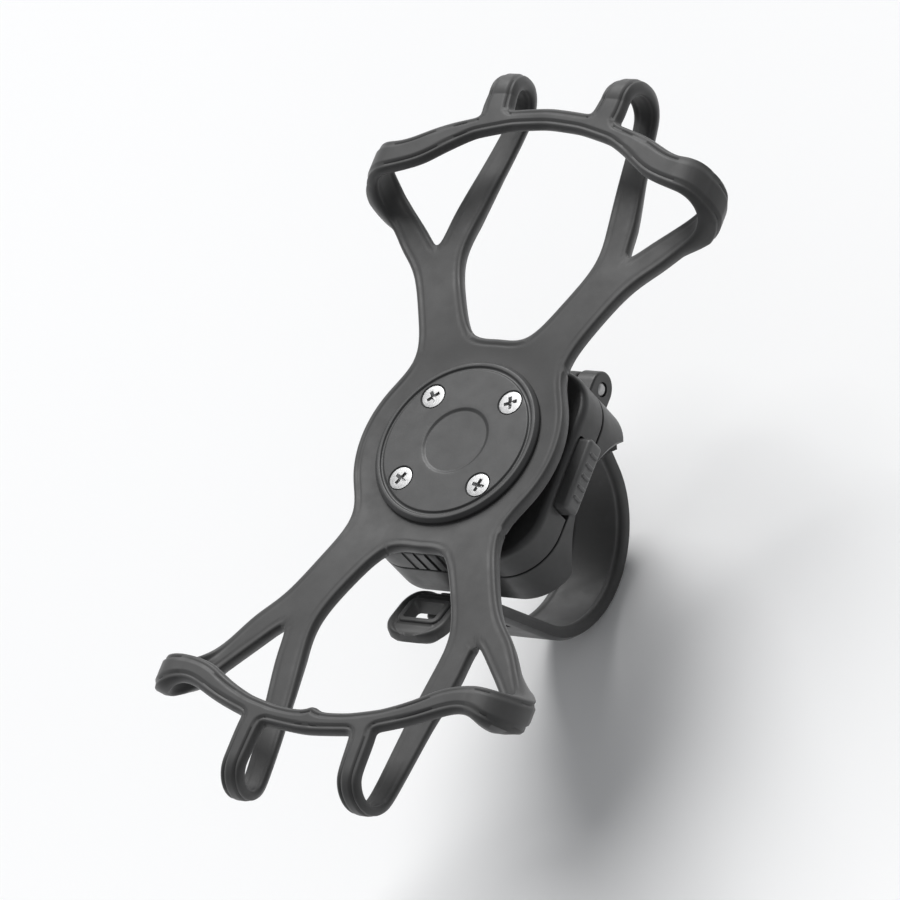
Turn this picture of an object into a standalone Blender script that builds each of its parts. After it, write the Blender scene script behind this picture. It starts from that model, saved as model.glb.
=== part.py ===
"""Handlebar phone mount: a stretch silicone cradle on a click-swivel, quick-release base on a silicone strap.

Frame: +X runs along the handlebar, +Z out of the bar along the swivel axis to the phone, +Y towards the
phone's top edge. The origin is on the swivel axis, where the saddle's pad rests on top of the bar. Heights in
this file are counted from the bar's axis, and settle() drops the finished parts to that origin. The cradle
is modelled as it sits when it is stretched round a phone, and the phone itself is left out.
"""

from math import acos, atan2, cos, degrees, pi, radians, sin, sqrt

import bmesh
import bpy
from mathutils import Matrix, Vector

MM = 0.001

# Driving dimensions: what the mount holds.
BAR_RADIUS = 15.9 * MM
PHONE_WIDTH = 67.3 * MM
PHONE_LENGTH = 138.4 * MM
PHONE_THICKNESS = 7.3 * MM
PHONE_BACK_Z = 32.0 * MM
PHONE_DROP = 1.6 * MM  # the phone's centre sits this far below the hub, towards -Y

# Silicone web.
SKIN_GAP = 0.15 * MM  # between the web's inner surface and the phone
ARM_THICKNESS = 2.8 * MM
BAND_THICKNESS = 2.0 * MM
EDGE_SPREAD = 1.06  # the cage stands this much wider round the phone's edge, because smoothing draws it in
HUB_TOP_Z = 30.8 * MM
HUB_HOLE_RADIUS = 6.5 * MM
HUB_FLAT_RADIUS = 17.5 * MM
HUB_RADIUS = 21.0 * MM
ARM_ANGLE = 60.0  # degrees from +X to an arm's root
ARM_ROOT_SPREAD = 13.0  # degrees either side of it
BAND_HALF_WIDTH = 1.95 * MM  # at the crest of a bow
THICKEST = 6.0 * MM  # the thickness that a vertex weight of 1 stands for
JUNCTION = 1.5 * MM  # from a prong's root to the next section of its bands
PRONG_X = 11.0 * MM  # where a prong leaves its bow
PRONG_EDGE_X = 12.3 * MM  # where it goes over the phone's end
PRONG_ANGLES = (-90, -50, -10, 30, 65, 90)  # round the phone's edge, from its back to its front
LUG_ANGLES = (-90, -55, -18, 18, 55, 90)
LUG_END_X = (25.5 * MM, 22.0 * MM, 18.5 * MM)  # where a lug narrows to its bow's band
# One bow across each end of the phone: side of the hub, crest and radius of its arc, distance of its lugs
# from the hub at the phone's back, side and front, their half widths there and along LUG_END_X, their
# thickness at LUG_ANGLES, half width of the prongs, their thickness at PRONG_ANGLES, and height of the small
# moulded peak on the bow's inner edge.
TOP_BOW = {
    "side": 1,
    "crest": 59.8 * MM,
    "arc_radius": 45.0 * MM,
    "lug": (43.2 * MM, 48.8 * MM, 50.6 * MM),
    "lug_half": (3.2 * MM, 3.7 * MM, 3.1 * MM),
    "lug_end": (3.1 * MM, 2.8 * MM, 2.4 * MM),
    "lug_thick": (2.8 * MM, 4.1 * MM, 3.9 * MM, 2.4 * MM, 2.1 * MM, 2.0 * MM),
    "prong_half": 2.8 * MM,
    "prong_thick": (1.8 * MM, 2.0 * MM, 2.6 * MM, 2.8 * MM, 2.5 * MM, 2.0 * MM),
    "peak": 0.0,
}
BOTTOM_BOW = {
    "side": -1,
    "crest": 59.7 * MM,
    "arc_radius": 50.0 * MM,
    "lug": (44.6 * MM, 52.1 * MM, 51.9 * MM),
    "lug_half": (3.2 * MM, 3.7 * MM, 2.5 * MM),
    "lug_end": (2.5 * MM, 2.3 * MM, 2.1 * MM),
    "lug_thick": (2.8 * MM, 4.0 * MM, 4.1 * MM, 3.3 * MM, 2.8 * MM, 2.1 * MM),
    "prong_half": 2.2 * MM,
    "prong_thick": (1.8 * MM, 1.8 * MM, 1.9 * MM, 1.9 * MM, 2.0 * MM, 2.0 * MM),
    "peak": 1.5 * MM,
}

# Front plate and swivel spigot, which turn with the web.
PLATE_RADIUS = 16.0 * MM
PLATE_BOTTOM_Z = 30.9 * MM
FLANGE_RADIUS = 17.0 * MM
FLANGE_TOP_Z = 27.9 * MM
FLANGE_BOTTOM_Z = 26.1 * MM
SPIGOT_RADIUS = 8.0 * MM
SPIGOT_END_Z = 19.5 * MM
GROOVE_RADIUS = 6.0 * MM
GROOVE_TOP_Z = 23.5 * MM
GROOVE_BOTTOM_Z = 21.4 * MM
HUB_SCREW_CIRCLE = 11.5 * MM
BOSS_RADIUS = 2.4 * MM
DETENT_POSITIONS = 12
DETENT_CIRCLE = 13.4 * MM

# Base: housing above, saddle below, rubber pad against the bar.
BASE_HALF_X = 19.0 * MM
BASE_HALF_Y = 19.0 * MM
BASE_CORNER = 9.0 * MM
HOUSING_TOP_Z = 25.8 * MM
HOUSING_BOTTOM_Z = 19.5 * MM
CAVITY_TOP_Z = 23.6 * MM
CAVITY_HALF_Y = 10.0 * MM
CAVITY_X = (-16.8 * MM, 15.8 * MM)
SADDLE_TOP_Z = 19.2 * MM
SADDLE_BOTTOM_Z = 10.8 * MM
PLATEAU_X = (-16.5 * MM, 11.8 * MM)
PLATEAU_TOP_Z = 21.4 * MM
PAD_THICKNESS = 1.35 * MM
SADDLE_RADIUS = BAR_RADIUS + 1.5 * MM
PAD_SPREAD = 48.0  # degrees either side of the crown
PAD_CROWN_HALF = 2.0 * MM  # the pad's flat land along the top of the bar
PAD_HALF_X = 17.0 * MM
BASE_SCREW_X = 14.0 * MM
BASE_SCREW_Y = 13.2 * MM
SCREW_HEAD_SEAT_Z = 16.6 * MM

# Release button and lock plate.
PLATE_Z = (21.7 * MM, 23.2 * MM)
LOCK_X = (-13.0 * MM, 14.0 * MM)
LOCK_HALF_Y = 9.2 * MM
WINDOW_RADIUS = 8.2 * MM
RELEASE_TRAVEL = 2.0 * MM
BUTTON_HALF_Y = 6.8 * MM
BUTTON_Z = (20.2 * MM, 24.2 * MM)
BUTTON_INNER_X = 14.3 * MM
BUTTON_FACE_X = 21.6 * MM
LOCK_SPRING_Y = 6.0 * MM
LOCK_SPRING_X = (-16.6 * MM, -9.4 * MM)

# Click detents.
BALL_RADIUS = 2.0 * MM
BALL_Z = 24.5 * MM
BALL_LIP_RADIUS = 1.8 * MM
BALL_LIP_Z = 25.4 * MM
DETENT_SPRING_Z = (19.5 * MM, 22.35 * MM)

# Strap.
STRAP_THICKNESS = 2.6 * MM
STRAP_HALF_WIDTH = 6.2 * MM
STRAP_PIN_Y = 22.4 * MM
STRAP_PIN_Z = 12.5 * MM
STRAP_PIN_RADIUS = 1.2 * MM
STRAP_EYE_RADIUS = 2.9 * MM
HOOK_Y = -21.7 * MM
HOOK_Z = 12.5 * MM
HOLE_PITCH = 8.0 * MM
EAR_X = (6.7 * MM, 10.7 * MM)
EAR_RADIUS = 3.2 * MM

RUNNING_GAP = 0.15 * MM
SILICONE = ("silicone_black", (0.045, 0.044, 0.043), 0.55, 0.0)
PLASTIC = ("plastic_black", (0.028, 0.028, 0.030), 0.40, 0.0)
ACETAL = ("acetal_grey", (0.11, 0.11, 0.115), 0.35, 0.0)
RUBBER = ("rubber_black", (0.025, 0.025, 0.025), 0.75, 0.0)
STEEL = ("steel", (0.62, 0.62, 0.64), 0.28, 1.0)
ACCENT = ("button_grey", (0.08, 0.08, 0.084), 0.45, 0.0)


# ---------------------------------------------------------------- scene helpers


def clear_scene():
    for obj in list(bpy.data.objects):
        bpy.data.objects.remove(obj, do_unlink=True)


def collection(name, hidden=False):
    made = bpy.data.collections.new(name)
    bpy.context.scene.collection.children.link(made)
    made.hide_render = hidden
    return made


def material(spec):
    name, colour, roughness, metallic = spec
    if name in bpy.data.materials:
        return bpy.data.materials[name]
    made = bpy.data.materials.new(name)
    made.use_nodes = True
    shader = made.node_tree.nodes["Principled BSDF"]
    shader.inputs["Base Color"].default_value = (*colour, 1.0)
    shader.inputs["Roughness"].default_value = roughness
    shader.inputs["Metallic"].default_value = metallic
    return made


def mesh_object(name, bm, spec, home):
    """A named object from a bmesh, which is freed."""
    mesh = bpy.data.meshes.new(name)
    bm.to_mesh(mesh)
    bm.free()
    obj = bpy.data.objects.new(name, mesh)
    home.objects.link(obj)
    mesh.materials.append(material(spec))
    mesh.shade_smooth()
    mesh.set_sharp_from_angle(angle=radians(35))
    return obj


def cutter(name, bm):
    obj = mesh_object(name, bm, RUBBER, CUTTERS)
    obj.hide_render = True
    obj.display_type = "WIRE"
    return obj


def boolean(obj, other, operation):
    made = obj.modifiers.new(other.name, "BOOLEAN")
    made.operation = operation
    made.object = other


def cylinder(radius, low, high, segments=32, top_radius=None):
    """A closed cylinder, or a cone frustum, about Z between two heights."""
    bm = bmesh.new()
    middle = Matrix.Translation((0, 0, (low + high) / 2))
    bmesh.ops.create_cone(
        bm,
        cap_ends=True,
        segments=segments,
        radius1=radius,
        radius2=radius if top_radius is None else top_radius,
        depth=high - low,
        matrix=middle,
    )
    return bm


def moved(bm, matrix):
    bmesh.ops.transform(bm, matrix=matrix, verts=bm.verts)
    return bm


def along_x(bm):
    """Turns a bmesh made about Z so that it runs about X, with its +X turned to +Y and its +Y to +Z."""
    return moved(bm, Matrix(((0, 0, 1, 0), (1, 0, 0, 0), (0, 1, 0, 0), (0, 0, 0, 1))))


def box(x, y, z, bevel=0.0, segments=1):
    """A closed box between pairs of limits, with its edges rounded by bevel."""
    bm = bmesh.new()
    size = [hi - lo for lo, hi in (x, y, z)]
    centre = [(hi + lo) / 2 for lo, hi in (x, y, z)]
    bmesh.ops.create_cube(bm, size=1.0)
    moved(bm, Matrix.Translation(centre) @ Matrix.Diagonal((*size, 1)))
    if bevel:
        bmesh.ops.bevel(bm, geom=bm.edges[:], offset=bevel, segments=segments, affect="EDGES", profile=0.5)
    return bm


def prism(outline, low, high):
    """A flat outline extruded between two heights along Z."""
    curve = bpy.data.curves.new("outline", "CURVE")
    curve.dimensions = "2D"
    curve.fill_mode = "BOTH"
    curve.extrude = (high - low) / 2
    spline = curve.splines.new("POLY")
    spline.points.add(len(outline) - 1)
    spline.use_cyclic_u = True
    for point, (x, y) in zip(spline.points, outline):
        point.co = (x, y, 0, 1)
    obj = bpy.data.objects.new("outline", curve)
    bpy.context.scene.collection.objects.link(obj)
    bpy.context.view_layer.update()
    evaluated = obj.evaluated_get(bpy.context.evaluated_depsgraph_get())
    mesh = bpy.data.meshes.new_from_object(evaluated)
    bm = bmesh.new()
    bm.from_mesh(mesh)
    bmesh.ops.remove_doubles(bm, verts=bm.verts, dist=0.001 * MM)
    bmesh.ops.recalc_face_normals(bm, faces=bm.faces)
    bpy.data.objects.remove(obj)
    bpy.data.curves.remove(curve)
    bpy.data.meshes.remove(mesh)
    return moved(bm, Matrix.Translation((0, 0, (low + high) / 2)))


def rounded_rectangle(x, y, radius, steps=6):
    points = []
    corners = ((x[1], y[1], 0), (x[0], y[1], 90), (x[0], y[0], 180), (x[1], y[0], 270))
    for cx, cy, start in corners:
        ox = cx - radius if cx == x[1] else cx + radius
        oy = cy - radius if cy == y[1] else cy + radius
        for step in range(steps + 1):
            angle = radians(start + 90 * step / steps)
            points.append((ox + radius * cos(angle), oy + radius * sin(angle)))
    return points


def bevel_rim(bm, height, width, segments=2):
    """Rounds the edges that lie in the plane at this height."""
    on_plane = [e for e in bm.edges if all(abs(v.co.z - height) < 0.01 * MM for v in e.verts)]
    rim = [e for e in on_plane if e.calc_face_angle(0) > radians(40)]
    bmesh.ops.bevel(bm, geom=rim, offset=width, segments=segments, affect="EDGES", profile=0.5)
    return bm


def turned(name, profile, spec, home, steps=48):
    """A solid of revolution about Z from (radius, height) points that start and end on the axis."""
    bm = bmesh.new()
    verts = [bm.verts.new((radius, 0, height)) for radius, height in profile]
    for first, second in zip(verts, verts[1:]):
        bm.edges.new((first, second))
    obj = mesh_object(name, bm, spec, home)
    screw = obj.modifiers.new("turn", "SCREW")
    screw.steps = steps
    screw.render_steps = steps
    screw.use_merge_vertices = True
    screw.merge_threshold = 0.01 * MM
    screw.use_smooth_shade = True
    return obj


def coil(name, start, end, radius, wire, turns, points_per_turn=9):
    """A compression spring between two points on one axis, as a wire curve with filled caps."""
    axis = Vector(end) - Vector(start)
    turn = axis.to_track_quat("Z", "X").to_matrix()
    count = turns * points_per_turn
    curve = bpy.data.curves.new(name, "CURVE")
    curve.dimensions = "3D"
    curve.bevel_depth = wire
    curve.bevel_resolution = 1
    curve.use_fill_caps = True
    spline = curve.splines.new("POLY")
    spline.points.add(count)
    for k, point in enumerate(spline.points):
        angle = 2 * pi * k / points_per_turn
        rise = wire + (axis.length - 2 * wire) * k / count
        local = Vector((radius * cos(angle), radius * sin(angle), rise))
        point.co = (*(Vector(start) + turn @ local), 1)
    obj = bpy.data.objects.new(name, curve)
    curve.materials.append(material(STEEL))
    MOUNT.objects.link(obj)
    return obj


def ring_positions(radius, count, first=0.0):
    angles = [radians(first + 360 * k / count) for k in range(count)]
    return [(radius * cos(a), radius * sin(a)) for a in angles]


# ---------------------------------------------------------------- silicone cradle


def mixed(a, b, share):
    return a + (b - a) * share


def through(values, share):
    """A smooth change through three values at shares 0, 0.5 and 1."""
    first, middle, last = values
    control = 2 * middle - (first + last) / 2
    return mixed(mixed(first, control, share), mixed(control, last, share), share)


class Web:
    """The web's inner surface as a cage of quads, with a thickness share at each point."""

    def __init__(self):
        self.bm = bmesh.new()
        self.group = self.bm.verts.layers.deform.verify()

    def strip(self, stations, flip_x, flip_y):
        """Quads between stations, each a list of (x, y, z, thickness) across the band."""
        rows = []
        for station in stations:
            row = []
            for x, y, z, thickness in station:
                vert = self.bm.verts.new((x * flip_x, y * flip_y, z))
                vert[self.group][0] = thickness / THICKEST
                row.append(vert)
            rows.append(row)
        for near, far in zip(rows, rows[1:]):
            for k in range(min(len(near), len(far)) - 1):
                self.bm.faces.new((near[k], near[k + 1], far[k + 1], far[k]))

    def finish(self, name):
        bm = self.bm
        bmesh.ops.remove_doubles(bm, verts=bm.verts, dist=0.01 * MM)
        bmesh.ops.recalc_face_normals(bm, faces=bm.faces)
        hub_face = min(bm.faces, key=lambda f: f.calc_center_median().length_squared)
        if hub_face.normal.z > 0:  # outwards is away from the phone, which is -Z on its back
            bmesh.ops.reverse_faces(bm, faces=bm.faces)
        return mesh_object(name, bm, SILICONE, MOUNT)


def wrap(reach, along, angle, thickness, over_end):
    """A point on the phone's rounded edge: angle -90 is its back, 0 its side and 90 its front."""
    radius = PHONE_THICKNESS / 2 + SKIN_GAP
    if abs(angle) < 90:
        radius *= EDGE_SPREAD
    out = reach - PHONE_THICKNESS / 2 + radius * cos(radians(angle))
    z = PHONE_BACK_Z + PHONE_THICKNESS / 2 + radius * sin(radians(angle))
    return (along, out, z, thickness) if over_end else (out, along, z, thickness)


def arc_point(bow, x, offset, thickness):
    """A point on the bow's arc, offset from its centre line towards the phone's end."""
    radius = bow["arc_radius"]
    centre_y = bow["crest"] - radius
    slope = atan2(x, sqrt(radius**2 - x**2))
    front = PHONE_BACK_Z + PHONE_THICKNESS + SKIN_GAP
    return (
        (radius + offset) * sin(slope),
        centre_y + (radius + offset) * cos(slope),
        front,
        thickness,
    )


def across(x, y, heading, half, z, thickness, middle=None):
    """A station square to a heading in degrees: left point, optional middle and right point."""
    nx, ny = -sin(radians(heading)), cos(radians(heading))
    left = (x + nx * half, y + ny * half, z, thickness)
    right = (x - nx * half, y - ny * half, z, thickness)
    return [left, right] if middle is None else [left, middle, right]


def web_quarter(web, bow, flip_x):
    """A quarter of the web: hub sector, arm, side branch and lug, end branch and prong, and half a bow."""
    flip_y = bow["side"]
    end = PHONE_LENGTH / 2 - PHONE_DROP * flip_y
    side = PHONE_WIDTH / 2
    back = PHONE_BACK_Z - SKIN_GAP

    # Hub sector: three rings, with the arm's root between two of its spokes.
    spokes = (90, ARM_ANGLE + ARM_ROOT_SPREAD, ARM_ANGLE, ARM_ANGLE - ARM_ROOT_SPREAD, 24, 0)
    rings = (
        (HUB_HOLE_RADIUS, HUB_TOP_Z),
        ((HUB_HOLE_RADIUS + HUB_FLAT_RADIUS) / 2, HUB_TOP_Z),
        (HUB_FLAT_RADIUS, HUB_TOP_Z),
        (HUB_RADIUS, mixed(HUB_TOP_Z, back, 0.5)),
    )
    sector = [
        [(r * cos(radians(a)), r * sin(radians(a)), z, ARM_THICKNESS) for a in spokes]
        for r, z in rings
    ]
    web.strip(sector, flip_x, flip_y)

    # Arm, which splits at its fork into an end branch on its left and a side branch on its right.
    root = sector[-1][1:4]
    middle = (14.4 * MM, 26.0 * MM, back, ARM_THICKNESS)
    knee = across(14.4 * MM, 26.0 * MM, 63, 4.4 * MM, back, ARM_THICKNESS, middle)
    middle = (19.4 * MM, 36.4 * MM, back, ARM_THICKNESS)
    fork = across(18.6 * MM, 34.4 * MM, 63, 4.3 * MM, back, ARM_THICKNESS, middle)
    web.strip([root, knee, fork], flip_x, flip_y)

    # End branch: up the back, over the phone's end and down to the bow as a prong.
    prong = bow["prong_half"]
    branch = [
        [fork[0], fork[1]],
        across(16.7 * MM, 43.5 * MM, 99, 2.9 * MM, back, ARM_THICKNESS),
        across(14.9 * MM, 53.0 * MM, 98, 2.6 * MM, back, BAND_THICKNESS),
    ]
    for angle, thickness in zip(PRONG_ANGLES, bow["prong_thick"]):
        share = (angle + 90) / 180
        centre = mixed(13.4 * MM, PRONG_EDGE_X - 0.4 * MM, share)
        half = mixed(2.3 * MM, prong, share)
        branch.append([wrap(end, centre + k * half, angle, thickness, True) for k in (-1, 1)])
    for reach in (BAND_HALF_WIDTH + JUNCTION, BAND_HALF_WIDTH):
        branch.append([arc_point(bow, PRONG_X + k * prong, reach, BAND_THICKNESS) for k in (-1, 1)])
    web.strip(branch, flip_x, flip_y)

    # Side branch: out to the phone's side, round it as a thick lug and in to the bow's arc.
    branch = [
        [fork[1], fork[2]],
        across(25.2 * MM, 38.6 * MM, 38, 2.9 * MM, back, ARM_THICKNESS),
    ]
    for angle, thickness in zip(LUG_ANGLES, bow["lug_thick"]):
        share = (angle + 90) / 180
        centre = through(bow["lug"], share)
        half = through(bow["lug_half"], share)
        branch.append([wrap(side, centre + k * half, angle, thickness, False) for k in (1, -1)])
    for x, half in zip(LUG_END_X, bow["lug_end"]):
        branch.append([arc_point(bow, x, k * half, BAND_THICKNESS) for k in (1, -1)])
    root, tip = PRONG_X + prong, PRONG_X - prong
    for x, peak in ((root + JUNCTION, 0), (root, 0), (tip, 0), (tip - JUNCTION, 0), (1.5 * MM, 0), (0, 1)):
        inner = BAND_HALF_WIDTH + peak * bow["peak"]
        branch.append([arc_point(bow, x, k, BAND_THICKNESS) for k in (BAND_HALF_WIDTH, -inner)])
    web.strip(branch, flip_x, flip_y)


def build_cradle():
    web = Web()
    for bow in (TOP_BOW, BOTTOM_BOW):
        for flip_x in (1, -1):
            web_quarter(web, bow, flip_x)
    cradle = web.finish("silicone_cradle")
    thickness = cradle.vertex_groups.new(name="thickness")
    smooth = cradle.modifiers.new("smooth", "SUBSURF")
    smooth.levels = 1
    smooth.render_levels = 1
    skin = cradle.modifiers.new("skin", "SOLIDIFY")
    skin.thickness = THICKEST
    skin.offset = 1
    skin.use_even_offset = True
    skin.vertex_group = thickness.name
    for k, (x, y) in enumerate(ring_positions(HUB_SCREW_CIRCLE, 4, 45)):
        hole = moved(cylinder(2.7 * MM, 27 * MM, 32 * MM, 20), Matrix.Translation((x, y, 0)))
        boolean(cradle, cutter(f"cut_hub_boss_{k + 1}", hole), "DIFFERENCE")


# ---------------------------------------------------------------- plate, spigot and their screws


def build_front_plate():
    profile = [
        (0, PHONE_BACK_Z),
        (PLATE_RADIUS - 0.5 * MM, PHONE_BACK_Z),
        (PLATE_RADIUS, PHONE_BACK_Z - 0.5 * MM),
        (PLATE_RADIUS, PLATE_BOTTOM_Z),
        (0, PLATE_BOTTOM_Z),
    ]
    plate = turned("hub_front_plate", profile, PLASTIC, MOUNT)
    for k, (x, y) in enumerate(ring_positions(HUB_SCREW_CIRCLE, 4, 45)):
        sink = cylinder(1.3 * MM, PLATE_BOTTOM_Z - 0.1 * MM, PHONE_BACK_Z + 0.1 * MM, 20, 2.6 * MM)
        sink = moved(sink, Matrix.Translation((x, y, 0)))
        boolean(plate, cutter(f"cut_sink_{k + 1}", sink), "DIFFERENCE")
        profile = [
            (0, PHONE_BACK_Z - 0.1 * MM),
            (2.2 * MM, PHONE_BACK_Z - 0.1 * MM),
            (0.9 * MM, PLATE_BOTTOM_Z + 0.1 * MM),
            (0.9 * MM, 27.0 * MM),
            (0, 26.7 * MM),
        ]
        screw = turned(f"hub_screw_{k + 1}", profile, STEEL, MOUNT, steps=16)
        screw.location = (x, y, 0)


def build_spigot():
    profile = [
        (0, FLANGE_TOP_Z),
        (FLANGE_RADIUS - 0.3 * MM, FLANGE_TOP_Z),
        (FLANGE_RADIUS, FLANGE_TOP_Z - 0.3 * MM),
        (FLANGE_RADIUS, FLANGE_BOTTOM_Z + 0.3 * MM),
        (FLANGE_RADIUS - 0.3 * MM, FLANGE_BOTTOM_Z),
        (SPIGOT_RADIUS, FLANGE_BOTTOM_Z),
        (SPIGOT_RADIUS, GROOVE_TOP_Z),
        (GROOVE_RADIUS, GROOVE_TOP_Z),
        (GROOVE_RADIUS, GROOVE_BOTTOM_Z),
        (SPIGOT_RADIUS, GROOVE_BOTTOM_Z),
        (SPIGOT_RADIUS, SPIGOT_END_Z + 0.6 * MM),
        (SPIGOT_RADIUS - 0.6 * MM, SPIGOT_END_Z),
        (0, SPIGOT_END_Z),
    ]
    spigot = turned("swivel_spigot", profile, ACETAL, MOUNT)
    for k, (x, y) in enumerate(ring_positions(HUB_SCREW_CIRCLE, 4, 45)):
        place = Matrix.Translation((x, y, 0))
        boss = cylinder(BOSS_RADIUS, FLANGE_TOP_Z - 0.5 * MM, PLATE_BOTTOM_Z - 0.1 * MM, 20)
        boolean(spigot, cutter(f"add_boss_{k + 1}", moved(boss, place)), "UNION")
        pilot = cylinder(1.1 * MM, 26.6 * MM, PLATE_BOTTOM_Z + 1 * MM, 16)
        boolean(spigot, cutter(f"cut_boss_pilot_{k + 1}", moved(pilot, place)), "DIFFERENCE")
    for k, (x, y) in enumerate(ring_positions(DETENT_CIRCLE, DETENT_POSITIONS, 90)):
        dimple = cylinder(1.9 * MM, FLANGE_BOTTOM_Z - 0.3 * MM, FLANGE_BOTTOM_Z + 0.6 * MM, 12, 0.7 * MM)
        dimple = moved(dimple, Matrix.Translation((x, y, 0)))
        boolean(spigot, cutter(f"cut_dimple_{k + 1}", dimple), "DIFFERENCE")


# ---------------------------------------------------------------- base


def build_housing():
    outline = rounded_rectangle((-BASE_HALF_X, BASE_HALF_X), (-BASE_HALF_Y, BASE_HALF_Y), BASE_CORNER)
    shell = prism(outline, HOUSING_BOTTOM_Z, HOUSING_TOP_Z)
    bevel_rim(shell, HOUSING_TOP_Z, 1.2 * MM)
    housing = mesh_object("base_housing", shell, PLASTIC, MOUNT)
    below = HOUSING_BOTTOM_Z - 1 * MM
    above = HOUSING_TOP_Z + 1 * MM
    bore = cylinder(SPIGOT_RADIUS + RUNNING_GAP, below, above, 48)
    boolean(housing, cutter("cut_socket", bore), "DIFFERENCE")
    cavity = box(CAVITY_X, (-CAVITY_HALF_Y, CAVITY_HALF_Y), (below, CAVITY_TOP_Z))
    boolean(housing, cutter("cut_lock_cavity", cavity), "DIFFERENCE")
    window_y = BUTTON_HALF_Y + 0.3 * MM
    window_x = (BUTTON_INNER_X - RELEASE_TRAVEL - 0.4 * MM, BASE_HALF_X + 2 * MM)
    window = box(window_x, (-window_y, window_y), (below, BUTTON_Z[1] + 0.3 * MM))
    boolean(housing, cutter("cut_button_window", window), "DIFFERENCE")
    for k, side in enumerate((1, -1)):
        place = Matrix.Translation((0, side * DETENT_CIRCLE, 0))
        pocket = cylinder(BALL_RADIUS + 0.1 * MM, below, BALL_LIP_Z, 24)
        boolean(housing, cutter(f"cut_ball_pocket_{k + 1}", moved(pocket, place)), "DIFFERENCE")
        lip = cylinder(BALL_LIP_RADIUS, BALL_LIP_Z - 1 * MM, above, 24)
        boolean(housing, cutter(f"cut_ball_lip_{k + 1}", moved(lip, place)), "DIFFERENCE")
    for k, (x, y) in enumerate(base_screw_places()):
        pilot = moved(cylinder(1.1 * MM, below, 24.3 * MM, 16), Matrix.Translation((x, y, 0)))
        boolean(housing, cutter(f"cut_pilot_{k + 1}", pilot), "DIFFERENCE")


def base_screw_places():
    return [(sx * BASE_SCREW_X, sy * BASE_SCREW_Y) for sx in (1, -1) for sy in (1, -1)]


def build_saddle():
    """The lower half of the base: arched over the bar, with the strap's hook and, opposite it, two ears."""
    outline = rounded_rectangle((-BASE_HALF_X, BASE_HALF_X), (-BASE_HALF_Y, BASE_HALF_Y), BASE_CORNER)
    body = prism(outline, SADDLE_BOTTOM_Z, SADDLE_TOP_Z)
    bevel_rim(body, SADDLE_BOTTOM_Z, 1.2 * MM, 2)
    saddle = mesh_object("saddle_base", body, PLASTIC, MOUNT)

    plateau_y = CAVITY_HALF_Y - 0.3 * MM
    plateau = box(PLATEAU_X, (-plateau_y, plateau_y), (SADDLE_TOP_Z - 2 * MM, PLATEAU_TOP_Z))
    boolean(saddle, cutter("add_plateau", plateau), "UNION")
    stem_z = (HOOK_Z - 1.5 * MM, HOOK_Z + 1.5 * MM)
    stem = box((-2.8 * MM, 2.8 * MM), (-24.6 * MM, -17.5 * MM), stem_z)
    boolean(saddle, cutter("add_hook_stem", stem), "UNION")
    head_z = (HOOK_Z - 1.9 * MM, HOOK_Z + 2.5 * MM)
    head = box((-5.6 * MM, 5.6 * MM), (-25.9 * MM, -24.1 * MM), head_z, 0.5 * MM)
    boolean(saddle, cutter("add_hook_head", head), "UNION")
    for k, side in enumerate((1, -1)):
        low, high = sorted((side * EAR_X[0], side * EAR_X[1]))
        ear_z = (STRAP_PIN_Z - EAR_RADIUS, STRAP_PIN_Z + EAR_RADIUS)
        reach = box((low, high), (16.5 * MM, STRAP_PIN_Y), ear_z)
        boolean(saddle, cutter(f"add_ear_{k + 1}", reach), "UNION")
        tip = along_x(cylinder(EAR_RADIUS, low + 0.05 * MM, high - 0.05 * MM, 28))
        tip = moved(tip, Matrix.Translation((0, STRAP_PIN_Y, STRAP_PIN_Z)))
        boolean(saddle, cutter(f"add_ear_tip_{k + 1}", tip), "UNION")
    pin_hole = along_x(cylinder(STRAP_PIN_RADIUS + RUNNING_GAP, -16 * MM, 16 * MM, 24))
    pin_hole = moved(pin_hole, Matrix.Translation((0, STRAP_PIN_Y, STRAP_PIN_Z)))
    boolean(saddle, cutter("cut_pin_hole", pin_hole), "DIFFERENCE")
    bar = along_x(cylinder(SADDLE_RADIUS, -25 * MM, 25 * MM, 64))
    boolean(saddle, cutter("cut_bar", bar), "DIFFERENCE")
    pocket = cylinder(SPIGOT_RADIUS + 0.3 * MM, SADDLE_TOP_Z, PLATEAU_TOP_Z + 1 * MM, 48)
    boolean(saddle, cutter("cut_spigot_pocket", pocket), "DIFFERENCE")
    for k, (x, y) in enumerate(base_screw_places()):
        place = Matrix.Translation((x, y, 0))
        counterbore = cylinder(2.4 * MM, 5 * MM, SCREW_HEAD_SEAT_Z, 20)
        boolean(saddle, cutter(f"cut_counterbore_{k + 1}", moved(counterbore, place)), "DIFFERENCE")
        through = cylinder(1.3 * MM, 15 * MM, 21 * MM, 16)
        boolean(saddle, cutter(f"cut_through_{k + 1}", moved(through, place)), "DIFFERENCE")
        profile = [
            (0, 23.9 * MM),
            (0.8 * MM, 23.5 * MM),
            (0.8 * MM, SCREW_HEAD_SEAT_Z - 0.2 * MM),
            (2.05 * MM, SCREW_HEAD_SEAT_Z - 0.2 * MM),
            (2.05 * MM, SCREW_HEAD_SEAT_Z - 1.2 * MM),
            (1.5 * MM, SCREW_HEAD_SEAT_Z - 1.8 * MM),
            (0, SCREW_HEAD_SEAT_Z - 1.8 * MM),
        ]
        screw = turned(f"base_screw_{k + 1}", profile, STEEL, MOUNT, steps=16)
        screw.location = (x, y, 0)


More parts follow.
